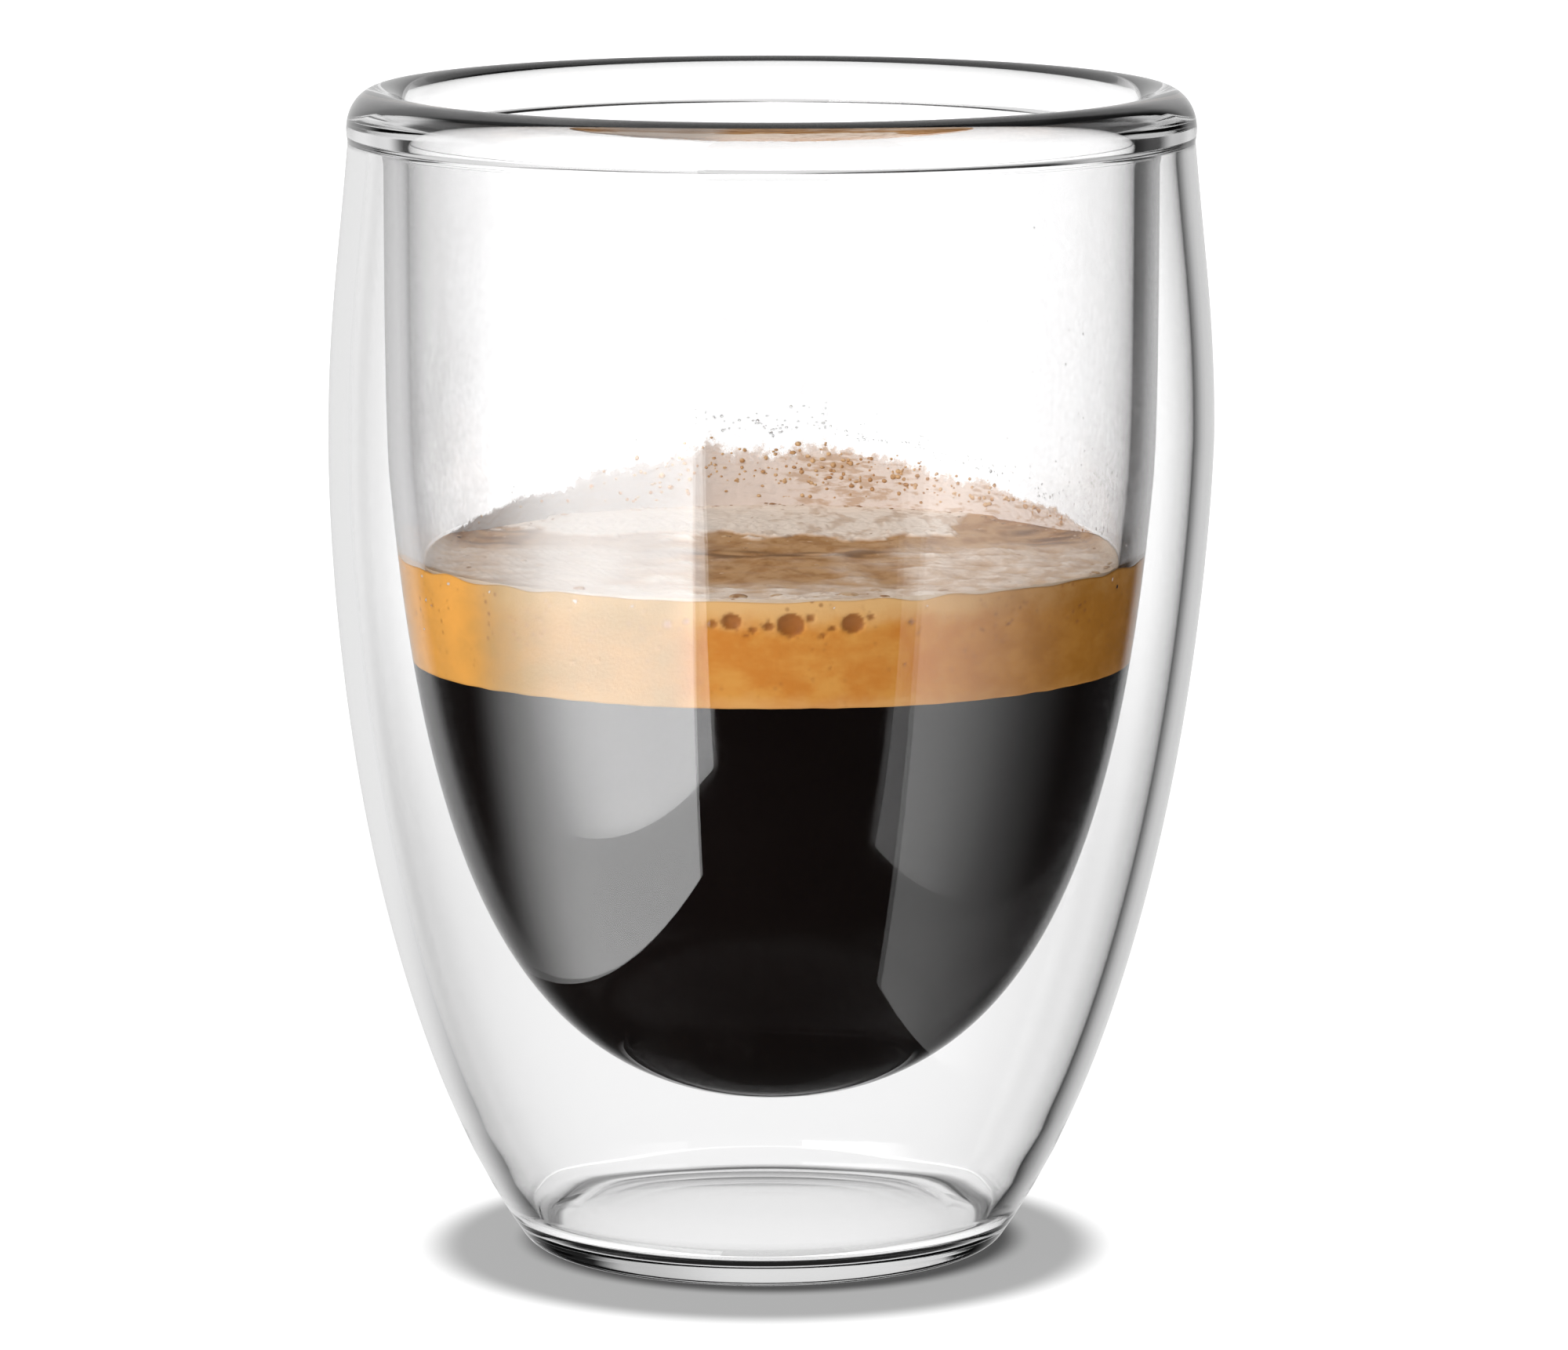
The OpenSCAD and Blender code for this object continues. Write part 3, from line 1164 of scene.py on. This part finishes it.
@dataclass
class CremaSide:
    """The crema as it shows through the glass: a deep ring of foam with hollows at bubbles."""

    cup: Tumbler
    bubbles: Bubbles = field(default_factory=Bubbles)
    bite: float = 0.08 * MM
    columns: int = 900
    rows: int = 46
    line_wander: float = 0.03 * MM
    crest_drop: float = 0.1 * MM
    crest_wander: float = 0.07 * MM
    back_drop: float = 0.65 * MM
    lip_width: float = 1.4 * MM
    lip_drop: float = 1.1 * MM
    full_shade: float = 0.16 * MM

    def build(self) -> bpy.types.Object:
        """Makes the side as a grid over angle and height, closed above and below.

        A grid point lies at the cup's inside plus bite, or, at a bubble, at the cup's inside
        less the bubble's depth. The lower edge wanders a little, as the line between foam and
        coffee does. The upper edge wanders too, and drops at the back, under the film.
        """
        low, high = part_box("crema")
        w = whole_turn(self.columns)
        share = np.linspace(0.0, 1.0, self.rows)[:, None]
        line = wall_line(w)
        wander = self.line_wander * (ripples(line, 16 * MM, 3) + 0.5 * ripples(line, 3 * MM, 4))
        crest = high.z - self.crest_drop + self.crest_wander * ripples(line, 5 * MM, 6)
        crest = crest - self.back_drop * eased(np.sin(w), 0.17, 0.52)
        z = (low.z + wander) * (1 - share) + crest * share
        inside = self.cup.inside_r(z)
        depth = self.bubbles.pits(np.broadcast_to(w, z.shape), z, float(inside.mean()))
        side = around(inside + self.bite - np.where(depth > 0, self.bite + depth, 0.0), w, z)
        lip_z = high.z - self.lip_drop
        lip = around(inside[-1] - self.lip_width, w, lip_z)
        poles = [[0.0, 0.0, low.z], [0.0, 0.0, lip_z]]
        points = np.concatenate([side.reshape(-1, 3), lip, poles])
        # Painted shade for the bubbles' hollows, darker where they are deeper; the crema's material
        # reads it as hollow.
        shade = np.clip(depth / self.full_shade, 0.0, 1.0) ** 0.7 * 0.8
        carried = {"hollow": np.concatenate([shade.ravel(), np.zeros(self.columns + 2)])}
        faces = skin_faces(self.rows + 1, self.columns)
        piece = put_mesh("crema_side", points, faces, CREMA, carried)
        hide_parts("crema")
        return piece


@dataclass
class CremaTop:
    """The crema's top, with its climbing edge, low swells and a pale head on the far side."""

    cup: Tumbler
    columns: int = 480
    rings: int = 190
    climb: float = 0.7 * MM
    climb_width: float = 0.75 * MM
    swell: float = 0.06 * MM
    head_edge: float = 8.6 * MM
    head_rise: float = 0.2 * MM
    dome_rise: float = 0.035 * MM
    least_dome: float = 0.01 * MM
    scallop: float = 2.6 * MM
    scallop_width: float = 3.4 * MM
    edge_wander: float = 1.2 * MM
    edge_fray: float = 0.6 * MM
    veil_wander: float = 3.2 * MM
    right_veil: float = 0.62
    left_veil: float = 0.6
    front_veil: float = 0.85
    unevenness: float = 0.16
    rim_width: float = 1.1 * MM
    thick: float = 1.0 * MM
    bite: float = 0.03 * MM

    def head(self, x: np.ndarray, y: np.ndarray) -> np.ndarray:
        """How much pale head lies at a point.

        All of it lies at the back, as far as an edge that scallops and two sizes of noise move
        to and fro, and that stays further back at the right and left. Thinner veils of it,
        broken by level streaks and blots, lie on the right, on the left and along the front.
        """
        flat = np.stack([x, y], axis=-1)
        scallops = self.scallop * np.abs(np.sin(x / self.scallop_width + 0.5)) ** 0.6
        edge = self.head_edge + scallops + self.edge_wander * ripples(flat, 9 * MM, 21)
        edge = edge + self.edge_fray * ripples(flat, 2.2 * MM, 22)
        edge = edge + 12 * MM * eased(x, 13 * MM, 18 * MM) + 4 * MM * eased(-x, 16 * MM, 21 * MM)
        back = eased(y - edge, -0.5 * MM, 0.7 * MM)
        streaks = ripples(np.stack([0.3 * x, y], axis=-1), 1.9 * MM, 23)
        blots = ripples(flat, 3.2 * MM, 24)
        aside = x + self.veil_wander * ripples(flat, 6 * MM, 26)
        right = self.right_veil * eased(aside, 3 * MM, 15 * MM) * (1 - eased(y, -1 * MM, 9 * MM))
        left = self.left_veil * eased(-aside, 3 * MM, 14 * MM) * (1 - eased(y, 1 * MM, 8 * MM))
        front = self.front_veil * eased(-y, 11 * MM, 22 * MM)
        veil = np.maximum(np.maximum(right, left), front)
        veil = veil * (1 + self.unevenness * (streaks + blots))
        return np.clip(np.maximum(back, veil), 0.0, 1.0)

    def brown(self, x: np.ndarray, y: np.ndarray) -> np.ndarray:
        """How dark the brown is: a broken level streak in the middle, and beside the head."""
        flat = np.stack([0.45 * x, y], axis=-1)
        streak = np.exp(-(((y - 1.0 * MM) / (1.7 * MM)) ** 2))
        streak = streak * (1 - eased(np.abs(x), 7 * MM, 12 * MM))
        corner = 0.6 * eased(np.abs(x), 17 * MM, 22 * MM) * eased(y, 3 * MM, 7 * MM)
        return np.clip((streak + corner) * (0.8 + 0.6 * ripples(flat, 2.4 * MM, 25)), 0.0, 1.0)

    def level(self) -> float:
        """Height of the crema away from the wall."""
        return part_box("crema")[1].z - self.climb

    def climbing(self, away: np.ndarray, y: np.ndarray) -> np.ndarray:
        """Rise towards the wall: it dies away exponentially, and is low under the film."""
        return self.climb * np.exp(-away / self.climb_width) * (1 - 0.85 * eased(y, 5 * MM, 15 * MM))

    def swells(self, flat: np.ndarray) -> np.ndarray:
        """Two sizes of low swell at level places."""
        return self.swell * (ripples(flat, 9 * MM, 33) + 0.5 * ripples(flat, 3.5 * MM, 34))

    def surface(self, x: np.ndarray, y: np.ndarray) -> np.ndarray:
        """Height of the top at scattered places, away from the wall."""
        swells = self.swells(np.stack([x, y], axis=-1))
        return self.level() + swells + self.head_rise * self.head(x, y)

    def build(self) -> bpy.types.Object:
        """Makes the top as a grid over radius and angle, closed underneath.

        The height is the crema's level, plus the climb at the wall, plus the swells, plus
        small rough domes and a rise where the head lies.
        """
        level = self.level()
        wall = float(self.cup.inside_r(np.array(level)))
        w = whole_turn(self.columns)
        share = np.linspace(1.0, 0.0, self.rings + 1)[:-1, None] ** 0.8
        r = np.broadcast_to(share * (wall + self.bite), (self.rings, self.columns))
        x, y = r * np.cos(w), r * np.sin(w)
        flat = np.stack([x, y], axis=-1)
        head = self.head(x, y)
        inner = 1 - eased(r, wall - 2 * MM, wall)
        domes = np.maximum(ripples(flat, 0.9 * MM, 31), 0)
        domes += 0.7 * np.maximum(ripples(flat, 0.5 * MM, 32), 0)
        z = level + self.climbing(wall - r, y) + self.swells(flat) * inner
        z += (self.dome_rise * head + self.least_dome) * domes + self.head_rise * head * inner
        top = np.stack([x, y, z], axis=-1)
        under = top[0] * 0.97
        under[:, 2] = level - self.thick
        poles = [[0.0, 0.0, level - self.thick], [0.0, 0.0, level]]
        points = np.concatenate([under, top.reshape(-1, 3), poles])
        shares = {
            "head": head,
            "rim": np.exp(-(wall - r) / self.rim_width) * (1 - eased(y, -2 * MM, 8 * MM)),
            "brown": self.brown(x, y),
        }
        carried = {
            name: np.concatenate([values[0], values.ravel(), np.zeros(2)])
            for name, values in shares.items()
        }
        faces = skin_faces(self.rings + 1, self.columns)
        piece = put_mesh("crema_top", points, faces, FROTH, carried)
        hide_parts("crema")
        return piece


@dataclass
class TopBubbles:
    """Round bubbles that stand on the crema, most of them near the wall.

    Attributes:
        cup: The tumbler.
        top: The crema's top, on which they stand.
        seed: Where the random draws start.
        count: How many small ones there are.
        large: Places x and y, and radius, in millimetres.
        shape: One bubble.
        off_wall: How far from the wall their middles stay.
        near_share: Share of them that lie near the wall.
        sunk: Share of its radius that a bubble sinks in.
    """

    cup: Tumbler
    top: CremaTop
    seed: int = 41
    count: int = 420
    large: tuple[tuple[float, float, float], ...] = (
        (-2.4, -21.2, 0.75), (0.5, -21.6, 0.6), (5.6, -20.8, 0.85), (8.2, -21.4, 0.45),
        (-5.4, -20.6, 0.5), (12.5, -18.6, 0.45), (-14.0, -17.5, 0.5), (3.2, -22.4, 0.35),
    )
    shape: DomeShape = DomeShape(rings=4, sides=12, bulge=0.35)
    off_wall: float = 0.6 * MM
    near_share: float = 0.6
    sunk: float = 0.08

    def build(self) -> bpy.types.Object:
        """Scatters low caps over the top, facing up."""
        draw = np.random.default_rng(self.seed)
        wall = float(self.cup.inside_r(np.array(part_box("crema")[1].z)))
        most = wall - self.off_wall
        near = draw.random(self.count) < self.near_share
        close = most - draw.exponential(0.9, self.count) * MM
        spread = most * np.sqrt(draw.random(self.count))
        r = np.where(near, close, spread)
        w = draw.uniform(-np.pi, np.pi, self.count)
        spots = np.array(self.large) * MM
        x = np.concatenate([spots[:, 0], r * np.cos(w)])
        y = np.concatenate([spots[:, 1], r * np.sin(w)])
        small = np.clip(draw.lognormal(-2.0, 0.4, self.count), 0.07, 0.32) * MM
        sizes = np.concatenate([spots[:, 2], small])
        z = self.top.surface(x, y) - self.sunk * sizes
        z += self.top.climbing(wall - np.hypot(x, y), y)
        places = np.stack([x, y, z], axis=-1)
        out = np.tile(UPWARD, (len(x), 1))
        points, faces = scattered(self.shape, places, out, sizes, np.ones(len(x)))
        return put_mesh("top_bubbles", points, faces, BUBBLE)


# ---------------------------------------------------------------------------
# What clings to the wall above the drink
# ---------------------------------------------------------------------------


@dataclass
class WallFilm:
    """The film of crema on the wall, high at the back.

    Elsewhere its upper edge lies below the crema's, because lowest is below zero.

    Attributes:
        cup: The tumbler on whose wall it lies.
        tallest: Its height above lowest at the back; spread is how many degrees it keeps it.
        lowest: The height of its upper edge elsewhere.
        thick: Its usual thickness; bite is how far it reaches into the wall.
        overlap: How far it reaches down along the crema.
    """

    cup: Tumbler
    tallest: float = 5.9 * MM
    lowest: float = -0.42 * MM
    spread: float = 51.0
    columns: int = 900
    rows: int = 26
    thick: float = 0.07 * MM
    bite: float = 0.02 * MM
    overlap: float = 0.8 * MM

    def reach(self, w: np.ndarray) -> np.ndarray:
        """How high the film stands at an angle.

        It is a bell curve about the back of the cup, with two sizes of ragged noise.
        """
        away = np.degrees((w - np.pi / 2 + np.pi) % (2 * np.pi) - np.pi)
        bell = np.exp(-((away / self.spread) ** 2))
        line = wall_line(w)
        ragged = 0.07 * ripples(line, 6 * MM, 51) + 0.03 * ripples(line, 2.0 * MM, 52)
        return self.lowest + self.tallest * bell * (1 + ragged)

    def build(self) -> bpy.types.Object:
        """Makes the film as a thin closed shell: one skin in the wall and one facing the axis."""
        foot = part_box("crema")[1].z - self.overlap
        w = whole_turn(self.columns)
        up = np.linspace(0.0, 1.0, self.rows)[:, None]
        z = foot + (self.reach(w) + self.overlap) * up
        wall = self.cup.inside_r(z)
        grain = 0.6 + 0.4 * ripples(around(wall, w, z * 2.2), 0.8 * MM, 53)
        skin = self.thick * np.clip(grain, 0.1, 1.5) * (1 - up**3)
        points, faces = wall_shell(wall + self.bite, wall - skin, w, z)
        carried = {"up": both_sides(np.broadcast_to(up, z.shape))}
        return put_mesh("wall_film", points, faces, LACING, carried)


@dataclass
class WallDrops:
    """Drops on the wall above the drink, scattered by one rule for each kind."""

    cup: Tumbler
    film: WallFilm
    round_cap: DomeShape = DomeShape(rings=2, sides=8, bulge=0.85)
    flat_cap: DomeShape = DomeShape(rings=2, sides=8, bulge=0.3)
    bite: float = 0.02 * MM

    def drops(
        self,
        name: str,
        shape: DomeShape,
        w: np.ndarray,
        z: np.ndarray,
        sizes: np.ndarray,
        finish: Finish,
    ) -> bpy.types.Object:
        """Sets a cap at each angle and height, with its base just inside the wall.

        Args:
            name: The piece's name.
            shape: One drop.
            w: Angles about the axis.
            z: Heights.
            sizes: Radii.
            finish: What the drops are made of.

        Returns:
            One joined mesh.
        """
        places = around(self.cup.inside_r(z) + self.bite, w, z)
        out = around(-1.0, w, 0.0)
        draw = np.random.default_rng(len(w))
        points, faces = scattered(shape, places, out, sizes, draw.uniform(0.5, 1.0, len(w)))
        return put_mesh(name, points, faces, finish)

    def beads(self, count: int = 320, seed: int = 61) -> bpy.types.Object:
        """Brown beads of foam over the film and its torn edge, most of them on the right."""
        draw = np.random.default_rng(seed)
        w = np.pi / 2 + np.radians(draw.normal(-12.0, 27.0, count))
        share = np.clip(draw.normal(0.5, 0.22, count), 0.08, 0.86)
        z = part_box("crema")[1].z - 0.3 * MM + self.film.reach(w) * share
        sizes = np.clip(draw.lognormal(-1.9, 0.36, count), 0.07, 0.3) * MM
        return self.drops("foam_beads", self.round_cap, w, z, sizes, BEAD)

    def dew(self, count: int = 260, seed: int = 71) -> bpy.types.Object:
        """Clear drops of dew just above the film, and more of them on the right-hand wall."""
        draw = np.random.default_rng(seed)
        back = np.pi / 2 + np.radians(draw.normal(-5.0, 36.0, count))
        side = np.radians(draw.normal(8.0, 16.0, count))
        w = np.concatenate([back, side])
        rise = np.concatenate([draw.exponential(0.5, count), draw.exponential(5.5, count)]) * MM
        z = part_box("crema")[1].z + self.film.reach(w) + 0.05 * MM + rise
        keep = z < self.cup.rim_z - 6 * MM
        sizes = np.clip(draw.lognormal(-2.5, 0.3, 2 * count), 0.05, 0.16) * MM
        return self.drops("dew_drops", self.flat_cap, w[keep], z[keep], sizes[keep], DEW)


@dataclass
class WallMist:
    """The haze of steam on the cup's inside, from the crema almost to the rim.

    Attributes:
        cup: The tumbler on whose wall it lies.
        thick: Its thickness; bite is how far it reaches into the wall.
        at_back: How strong it is at the back.
        at_sides: How much stronger it is low down at the sides; high_up is the same above.
        reach: Share of its height over which at_sides dies away.
    """

    cup: Tumbler
    columns: int = 240
    rows: int = 60
    thick: float = 0.02 * MM
    bite: float = 0.01 * MM
    at_back: float = 0.12
    at_sides: float = 0.5
    high_up: float = 0.03
    reach: float = 0.45

    def build(self) -> bpy.types.Object:
        """Makes a closed shell on the wall, strongest low down and gone below the rim."""
        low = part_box("crema")[1].z + 0.3 * MM
        high = self.cup.rim_z - 2 * MM
        z = np.linspace(low, high, self.rows)[:, None] * np.ones((1, self.columns))
        w = whole_turn(self.columns)
        wall = self.cup.inside_r(z)
        points, faces = wall_shell(wall + self.bite, wall - self.thick, w, z)
        up = (z - low) / (high - low)
        low_down = np.exp(-((up / self.reach) ** 2))
        sides = np.abs(np.cos(w)) ** 4 * (self.high_up + self.at_sides * low_down)
        back = self.at_back * eased(np.sin(w), -0.2, 0.4)
        haze = (back + sides) * eased(-up, -1.0, -0.75)
        return put_mesh("wall_mist", points, faces, MIST, {"haze": both_sides(haze)})


# ---------------------------------------------------------------------------
# The studio
# ---------------------------------------------------------------------------


def sine(degrees: float) -> float:
    """Sine of an angle in degrees."""
    return math.sin(math.radians(degrees))


def tangent(degrees: float) -> float:
    """Tangent of an angle in degrees."""
    return math.tan(math.radians(degrees))


class Side(Enum):
    """Which side of the tumbler a softbox stands on, as the sign of x."""

    LEFT = -1
    RIGHT = 1


@dataclass(frozen=True)
class Softbox:
    """A large flat lamp that faces the tumbler.

    Attributes:
        side: Where it stands.
        azimuth: Degrees from the camera's direction to its middle.
        half_width: Half its width, in degrees as seen from the tumbler.
        low: Lowest edge, in degrees above the table.
        high: Highest edge, likewise.
        distance: From the tumbler's axis.
        glow: Its brightness; 1 shows as white.
        fade: Share of its width over which its far edge dims to nothing.
    """

    side: Side
    azimuth: float
    half_width: float
    low: float
    high: float
    distance: float
    glow: float
    fade: float

    def build(self) -> bpy.types.Object:
        """Makes the lamp, which the camera can't see, dimmer towards its far edge."""
        bottom, top = self.distance * tangent(self.low), self.distance * tangent(self.high)
        lamp = bpy.data.lights.new(f"softbox_{self.side.name.lower()}", "AREA")
        lamp.shape = "RECTANGLE"
        lamp.size = 2 * self.distance * tangent(self.half_width)
        lamp.size_y = top - bottom
        lamp.energy = self.glow * math.pi * lamp.size * lamp.size_y
        lamp.use_nodes = True
        recipe = Recipe(lamp.node_tree)
        across = recipe.along(recipe.add("ShaderNodeNewGeometry", out="Parametric"), ACROSS)
        near, far = (1.0, 0.0) if self.side is Side.LEFT else (0.0, 1.0)
        edge = far + (near - far) * self.fade
        lit = recipe.add("ShaderNodeEmission", None, {"Strength": across.between(far, edge)})
        recipe.add("ShaderNodeOutputLight", None, {"Surface": lit})
        made = placed(lamp.name, lamp)
        w = math.radians(self.azimuth)
        out = Vector((self.side.value * math.sin(w), -math.cos(w), 0.0))
        made.location = out * self.distance + Vector(UPWARD) * ((top + bottom) / 2)
        made.rotation_euler = out.to_track_quat("Z", "Y").to_euler()
        made.visible_camera = False
        return made


@dataclass
class Studio:
    """A pale lit table, a room with a white wall at the back, three lamps and the camera.

    What is seen straight through the glass is white. Mirrored rays see the white wall at the
    back and a dark room elsewhere, so that black coffee stays black but for the softboxes.

    Attributes:
        table_r: The table's radius; table_drop is how far it lies under the foot.
        softboxes: The two large lamps.
        room_glow: Brightness of the room and the table where they are seen.
        room_fill: Brightness of the room as light for matt surfaces.
        wall_glow: Brightness of the white wall in mirrors, left of the middle.
        dim_glow: The same right of the middle, past the angles of dimming.
        dark_glow: Brightness of the rest of the room in mirrors.
        wall_left: Where the white wall ends on the left, in degrees from straight behind.
        wall_right: Likewise on the right; wall_blur is how soft both ends are.
        wall_foot: Degrees above the level between which the wall's foot fades in.
        near_glow: Brightness of the table under the tumbler; glow_spread says where it
            passes into room_glow.
        shadow_glow: Brightness of the soft shadow, whose middle and fading edge follow.
        contact_shadow_inside: Where the painted black contact shadow under the foot fades in, away
            from the axis.
        contact_shadow_outside: Where it fades out; contact_shadow_share is how black it is.
        overhead_glow: Brightness of the lamp above the tumbler.
        camera_away: The camera's distance in front of the axis, then its height, how far it
            is aside, and how many degrees it looks down.
        lens: Its focal length in millimetres, on a sensor 36 wide.
    """

    table_r: float = 6.0
    table_sides: int = 96
    table_drop: float = 0.1 * MM
    softboxes: tuple[Softbox, ...] = (
        Softbox(
            Side.LEFT, azimuth=53.5, half_width=34.0, low=-33.0, high=58.0, distance=0.55,
            glow=4.1, fade=0.5,
        ),
        Softbox(
            Side.RIGHT, azimuth=66.0, half_width=26.5, low=-39.5, high=50.0, distance=0.55,
            glow=1.22, fade=0.95,
        ),
    )
    room_glow: float = 1.36
    room_fill: float = 0.1
    wall_glow: float = 0.8
    dim_glow: float = 0.58
    dark_glow: float = 0.015
    wall_left: float = 43.0
    wall_right: float = 30.0
    wall_blur: float = 6.0
    wall_foot: tuple[float, float] = (-36.0, -14.0)
    dimming: tuple[float, float] = (3.0, 20.0)
    near_glow: float = 1.04
    glow_spread: tuple[float, float] = (0.1, 0.36)
    shadow_glow: float = 0.4
    shadow_middle: tuple[float, float, float] = (-0.5 * MM, -2.5 * MM, 0.0)
    shadow_edge: tuple[float, float] = (27.8 * MM, 23.4 * MM)
    contact_shadow_inside: tuple[float, float] = (16.2 * MM, 17.0 * MM)
    contact_shadow_outside: tuple[float, float] = (20.5 * MM, 17.8 * MM)
    contact_shadow_share: float = 0.85
    overhead_glow: float = 2.2
    overhead_width: float = 0.5
    overhead_place: tuple[float, float, float] = (0.0, -0.05, 0.7)
    camera_away: float = 0.608
    camera_up: float = 0.1419
    camera_aside: float = 0.00095
    camera_pitch: float = 9.112
    lens: float = 182.3

    def seen_in_mirror(self, recipe: Recipe) -> Socket:
        """1 for a ray that a glossy surface has mirrored, 0 for any other."""
        return recipe.ray("Glossy Depth").between(0.4, 0.6)

    def build_room(self) -> None:
        """Lights the world: white where it is seen, softer where it lights, dark in mirrors."""
        world = bpy.data.worlds.new("room")
        bpy.context.scene.world = world
        world.use_nodes = True
        recipe = Recipe(world.node_tree)
        matt = recipe.ray("Is Diffuse Ray")
        seen = self.room_glow + matt * (self.room_fill - self.room_glow)
        mirrored = self.seen_in_mirror(recipe) * (1.0 - matt)
        way = recipe.add("ShaderNodeTexCoord", out="Generated")
        level = recipe.vectors("NORMALIZE", recipe.scaled(way, (1.0, 1.0, 0.0)))
        aside = recipe.along(level, ACROSS)
        left, right, blur = self.wall_left, self.wall_right, self.wall_blur
        wall = recipe.along(level, BACKWARD).between(0.1, 0.3)
        wall = wall * aside.between(-sine(left + blur), -sine(left - blur))
        wall = wall * aside.between(sine(right + blur), sine(right - blur))
        dimmed = aside.between(*map(sine, self.dimming))
        above = recipe.along(way, UPWARD).between(*map(sine, self.wall_foot))
        glow = wall * above * (self.wall_glow + dimmed * (self.dim_glow - self.wall_glow))
        strength = seen * (1.0 - mirrored) + mirrored * glow.at_least(self.dark_glow)
        lit = recipe.add("ShaderNodeBackground", None, {"Color": grey(1.0), "Strength": strength})
        recipe.add("ShaderNodeOutputWorld", None, {"Surface": lit})

    def build_table(self) -> bpy.types.Object:
        """Makes the table as a disc that glows, brighter away from the tumbler.

        A painted black contact shadow lies under the foot, and a painted soft grey shadow, which
        only the camera sees, lies round it. Mirrored rays pass through the table.
        """
        rim = around(self.table_r, whole_turn(self.table_sides), -self.table_drop)
        mesh = bpy.data.meshes.new("table")
        mesh.from_pydata(rim.tolist(), [], [list(range(len(rim)))])
        table = placed("table", mesh)
        material = bpy.data.materials.new("pale_table")
        material.use_nodes = True
        recipe = Recipe(material.node_tree)
        place = recipe.place()
        away = recipe.length(place)
        near, dark = self.near_glow / self.room_glow, self.shadow_glow / self.room_glow
        glow = recipe.mixed(away.between(*self.glow_spread), grey(near), grey(1.0))
        from_middle = recipe.length(recipe.vectors("SUBTRACT", place, self.shadow_middle))
        shadow = from_middle.between(*self.shadow_edge) * recipe.ray("Is Camera Ray")
        glow = recipe.mixed(shadow, glow, grey(dark))
        # Painted contact shadow: a black ring on the table round the foot's edge.
        contact_shadow = away.between(*self.contact_shadow_inside) * away.between(*self.contact_shadow_outside)
        glow = recipe.mixed(contact_shadow * self.contact_shadow_share, glow, grey(0.0))
        pale = recipe.principled(
            Base_Color=grey(0.04), Roughness=0.9, Specular_IOR_Level=0.1,
            Emission_Color=glow, Emission_Strength=self.room_glow,
        )
        recipe.shown(recipe.see_through(self.seen_in_mirror(recipe), pale, grey(1.0)))
        mesh.materials.append(material)
        return table

    def build_camera(self) -> bpy.types.Object:
        """Makes the camera in front of the tumbler, looking slightly down on it."""
        lens = bpy.data.cameras.new("camera")
        lens.lens = self.lens
        lens.sensor_width = 36.0
        lens.clip_start, lens.clip_end = 0.01, 20.0
        camera = placed("camera", lens)
        camera.location = (self.camera_aside, -self.camera_away, self.camera_up)
        camera.rotation_euler = (math.radians(90.0 - self.camera_pitch), 0.0, 0.0)
        bpy.context.scene.camera = camera
        return camera

    def build_overhead(self) -> bpy.types.Object:
        """Makes a lamp above the tumbler, which lights the crema's top and shows in no mirror."""
        lamp = bpy.data.lights.new("overhead", "AREA")
        lamp.shape = "DISK"
        lamp.size = self.overhead_width
        lamp.energy = self.overhead_glow * math.pi**2 * (lamp.size / 2) ** 2
        made = placed(lamp.name, lamp)
        made.location = self.overhead_place
        made.visible_camera = made.visible_glossy = made.visible_transmission = False
        return made

    def build(self) -> None:
        """Sets up everything round the object."""
        scene = bpy.context.scene
        scene.view_settings.view_transform = "Standard"
        scene.cycles.max_bounces = 24
        scene.cycles.transmission_bounces = 18
        scene.cycles.glossy_bounces = 8
        scene.cycles.transparent_max_bounces = 32
        self.build_room()
        self.build_table()
        for softbox in self.softboxes:
            softbox.build()
        self.build_overhead()
        self.build_camera()


def main() -> None:
    """Builds every sub-assembly in order and reports each piece."""
    logging.basicConfig(level=logging.INFO, format="%(name)s: %(message)s")
    Studio().build()
    cup = Tumbler()
    top = CremaTop(cup)
    film = WallFilm(cup)
    drops = WallDrops(cup, film)
    makers = (
        cup.build, Coffee(cup).build, CremaSide(cup).build, top.build,
        TopBubbles(cup, top).build, film.build, drops.beads, drops.dew, WallMist(cup).build,
    )
    for make in makers:
        piece = make()
        triangles = sum(len(face.vertices) - 2 for face in piece.data.polygons)
        log.info("%s: %d triangles", piece.name, triangles)


if __name__ == "__main__":
    main()
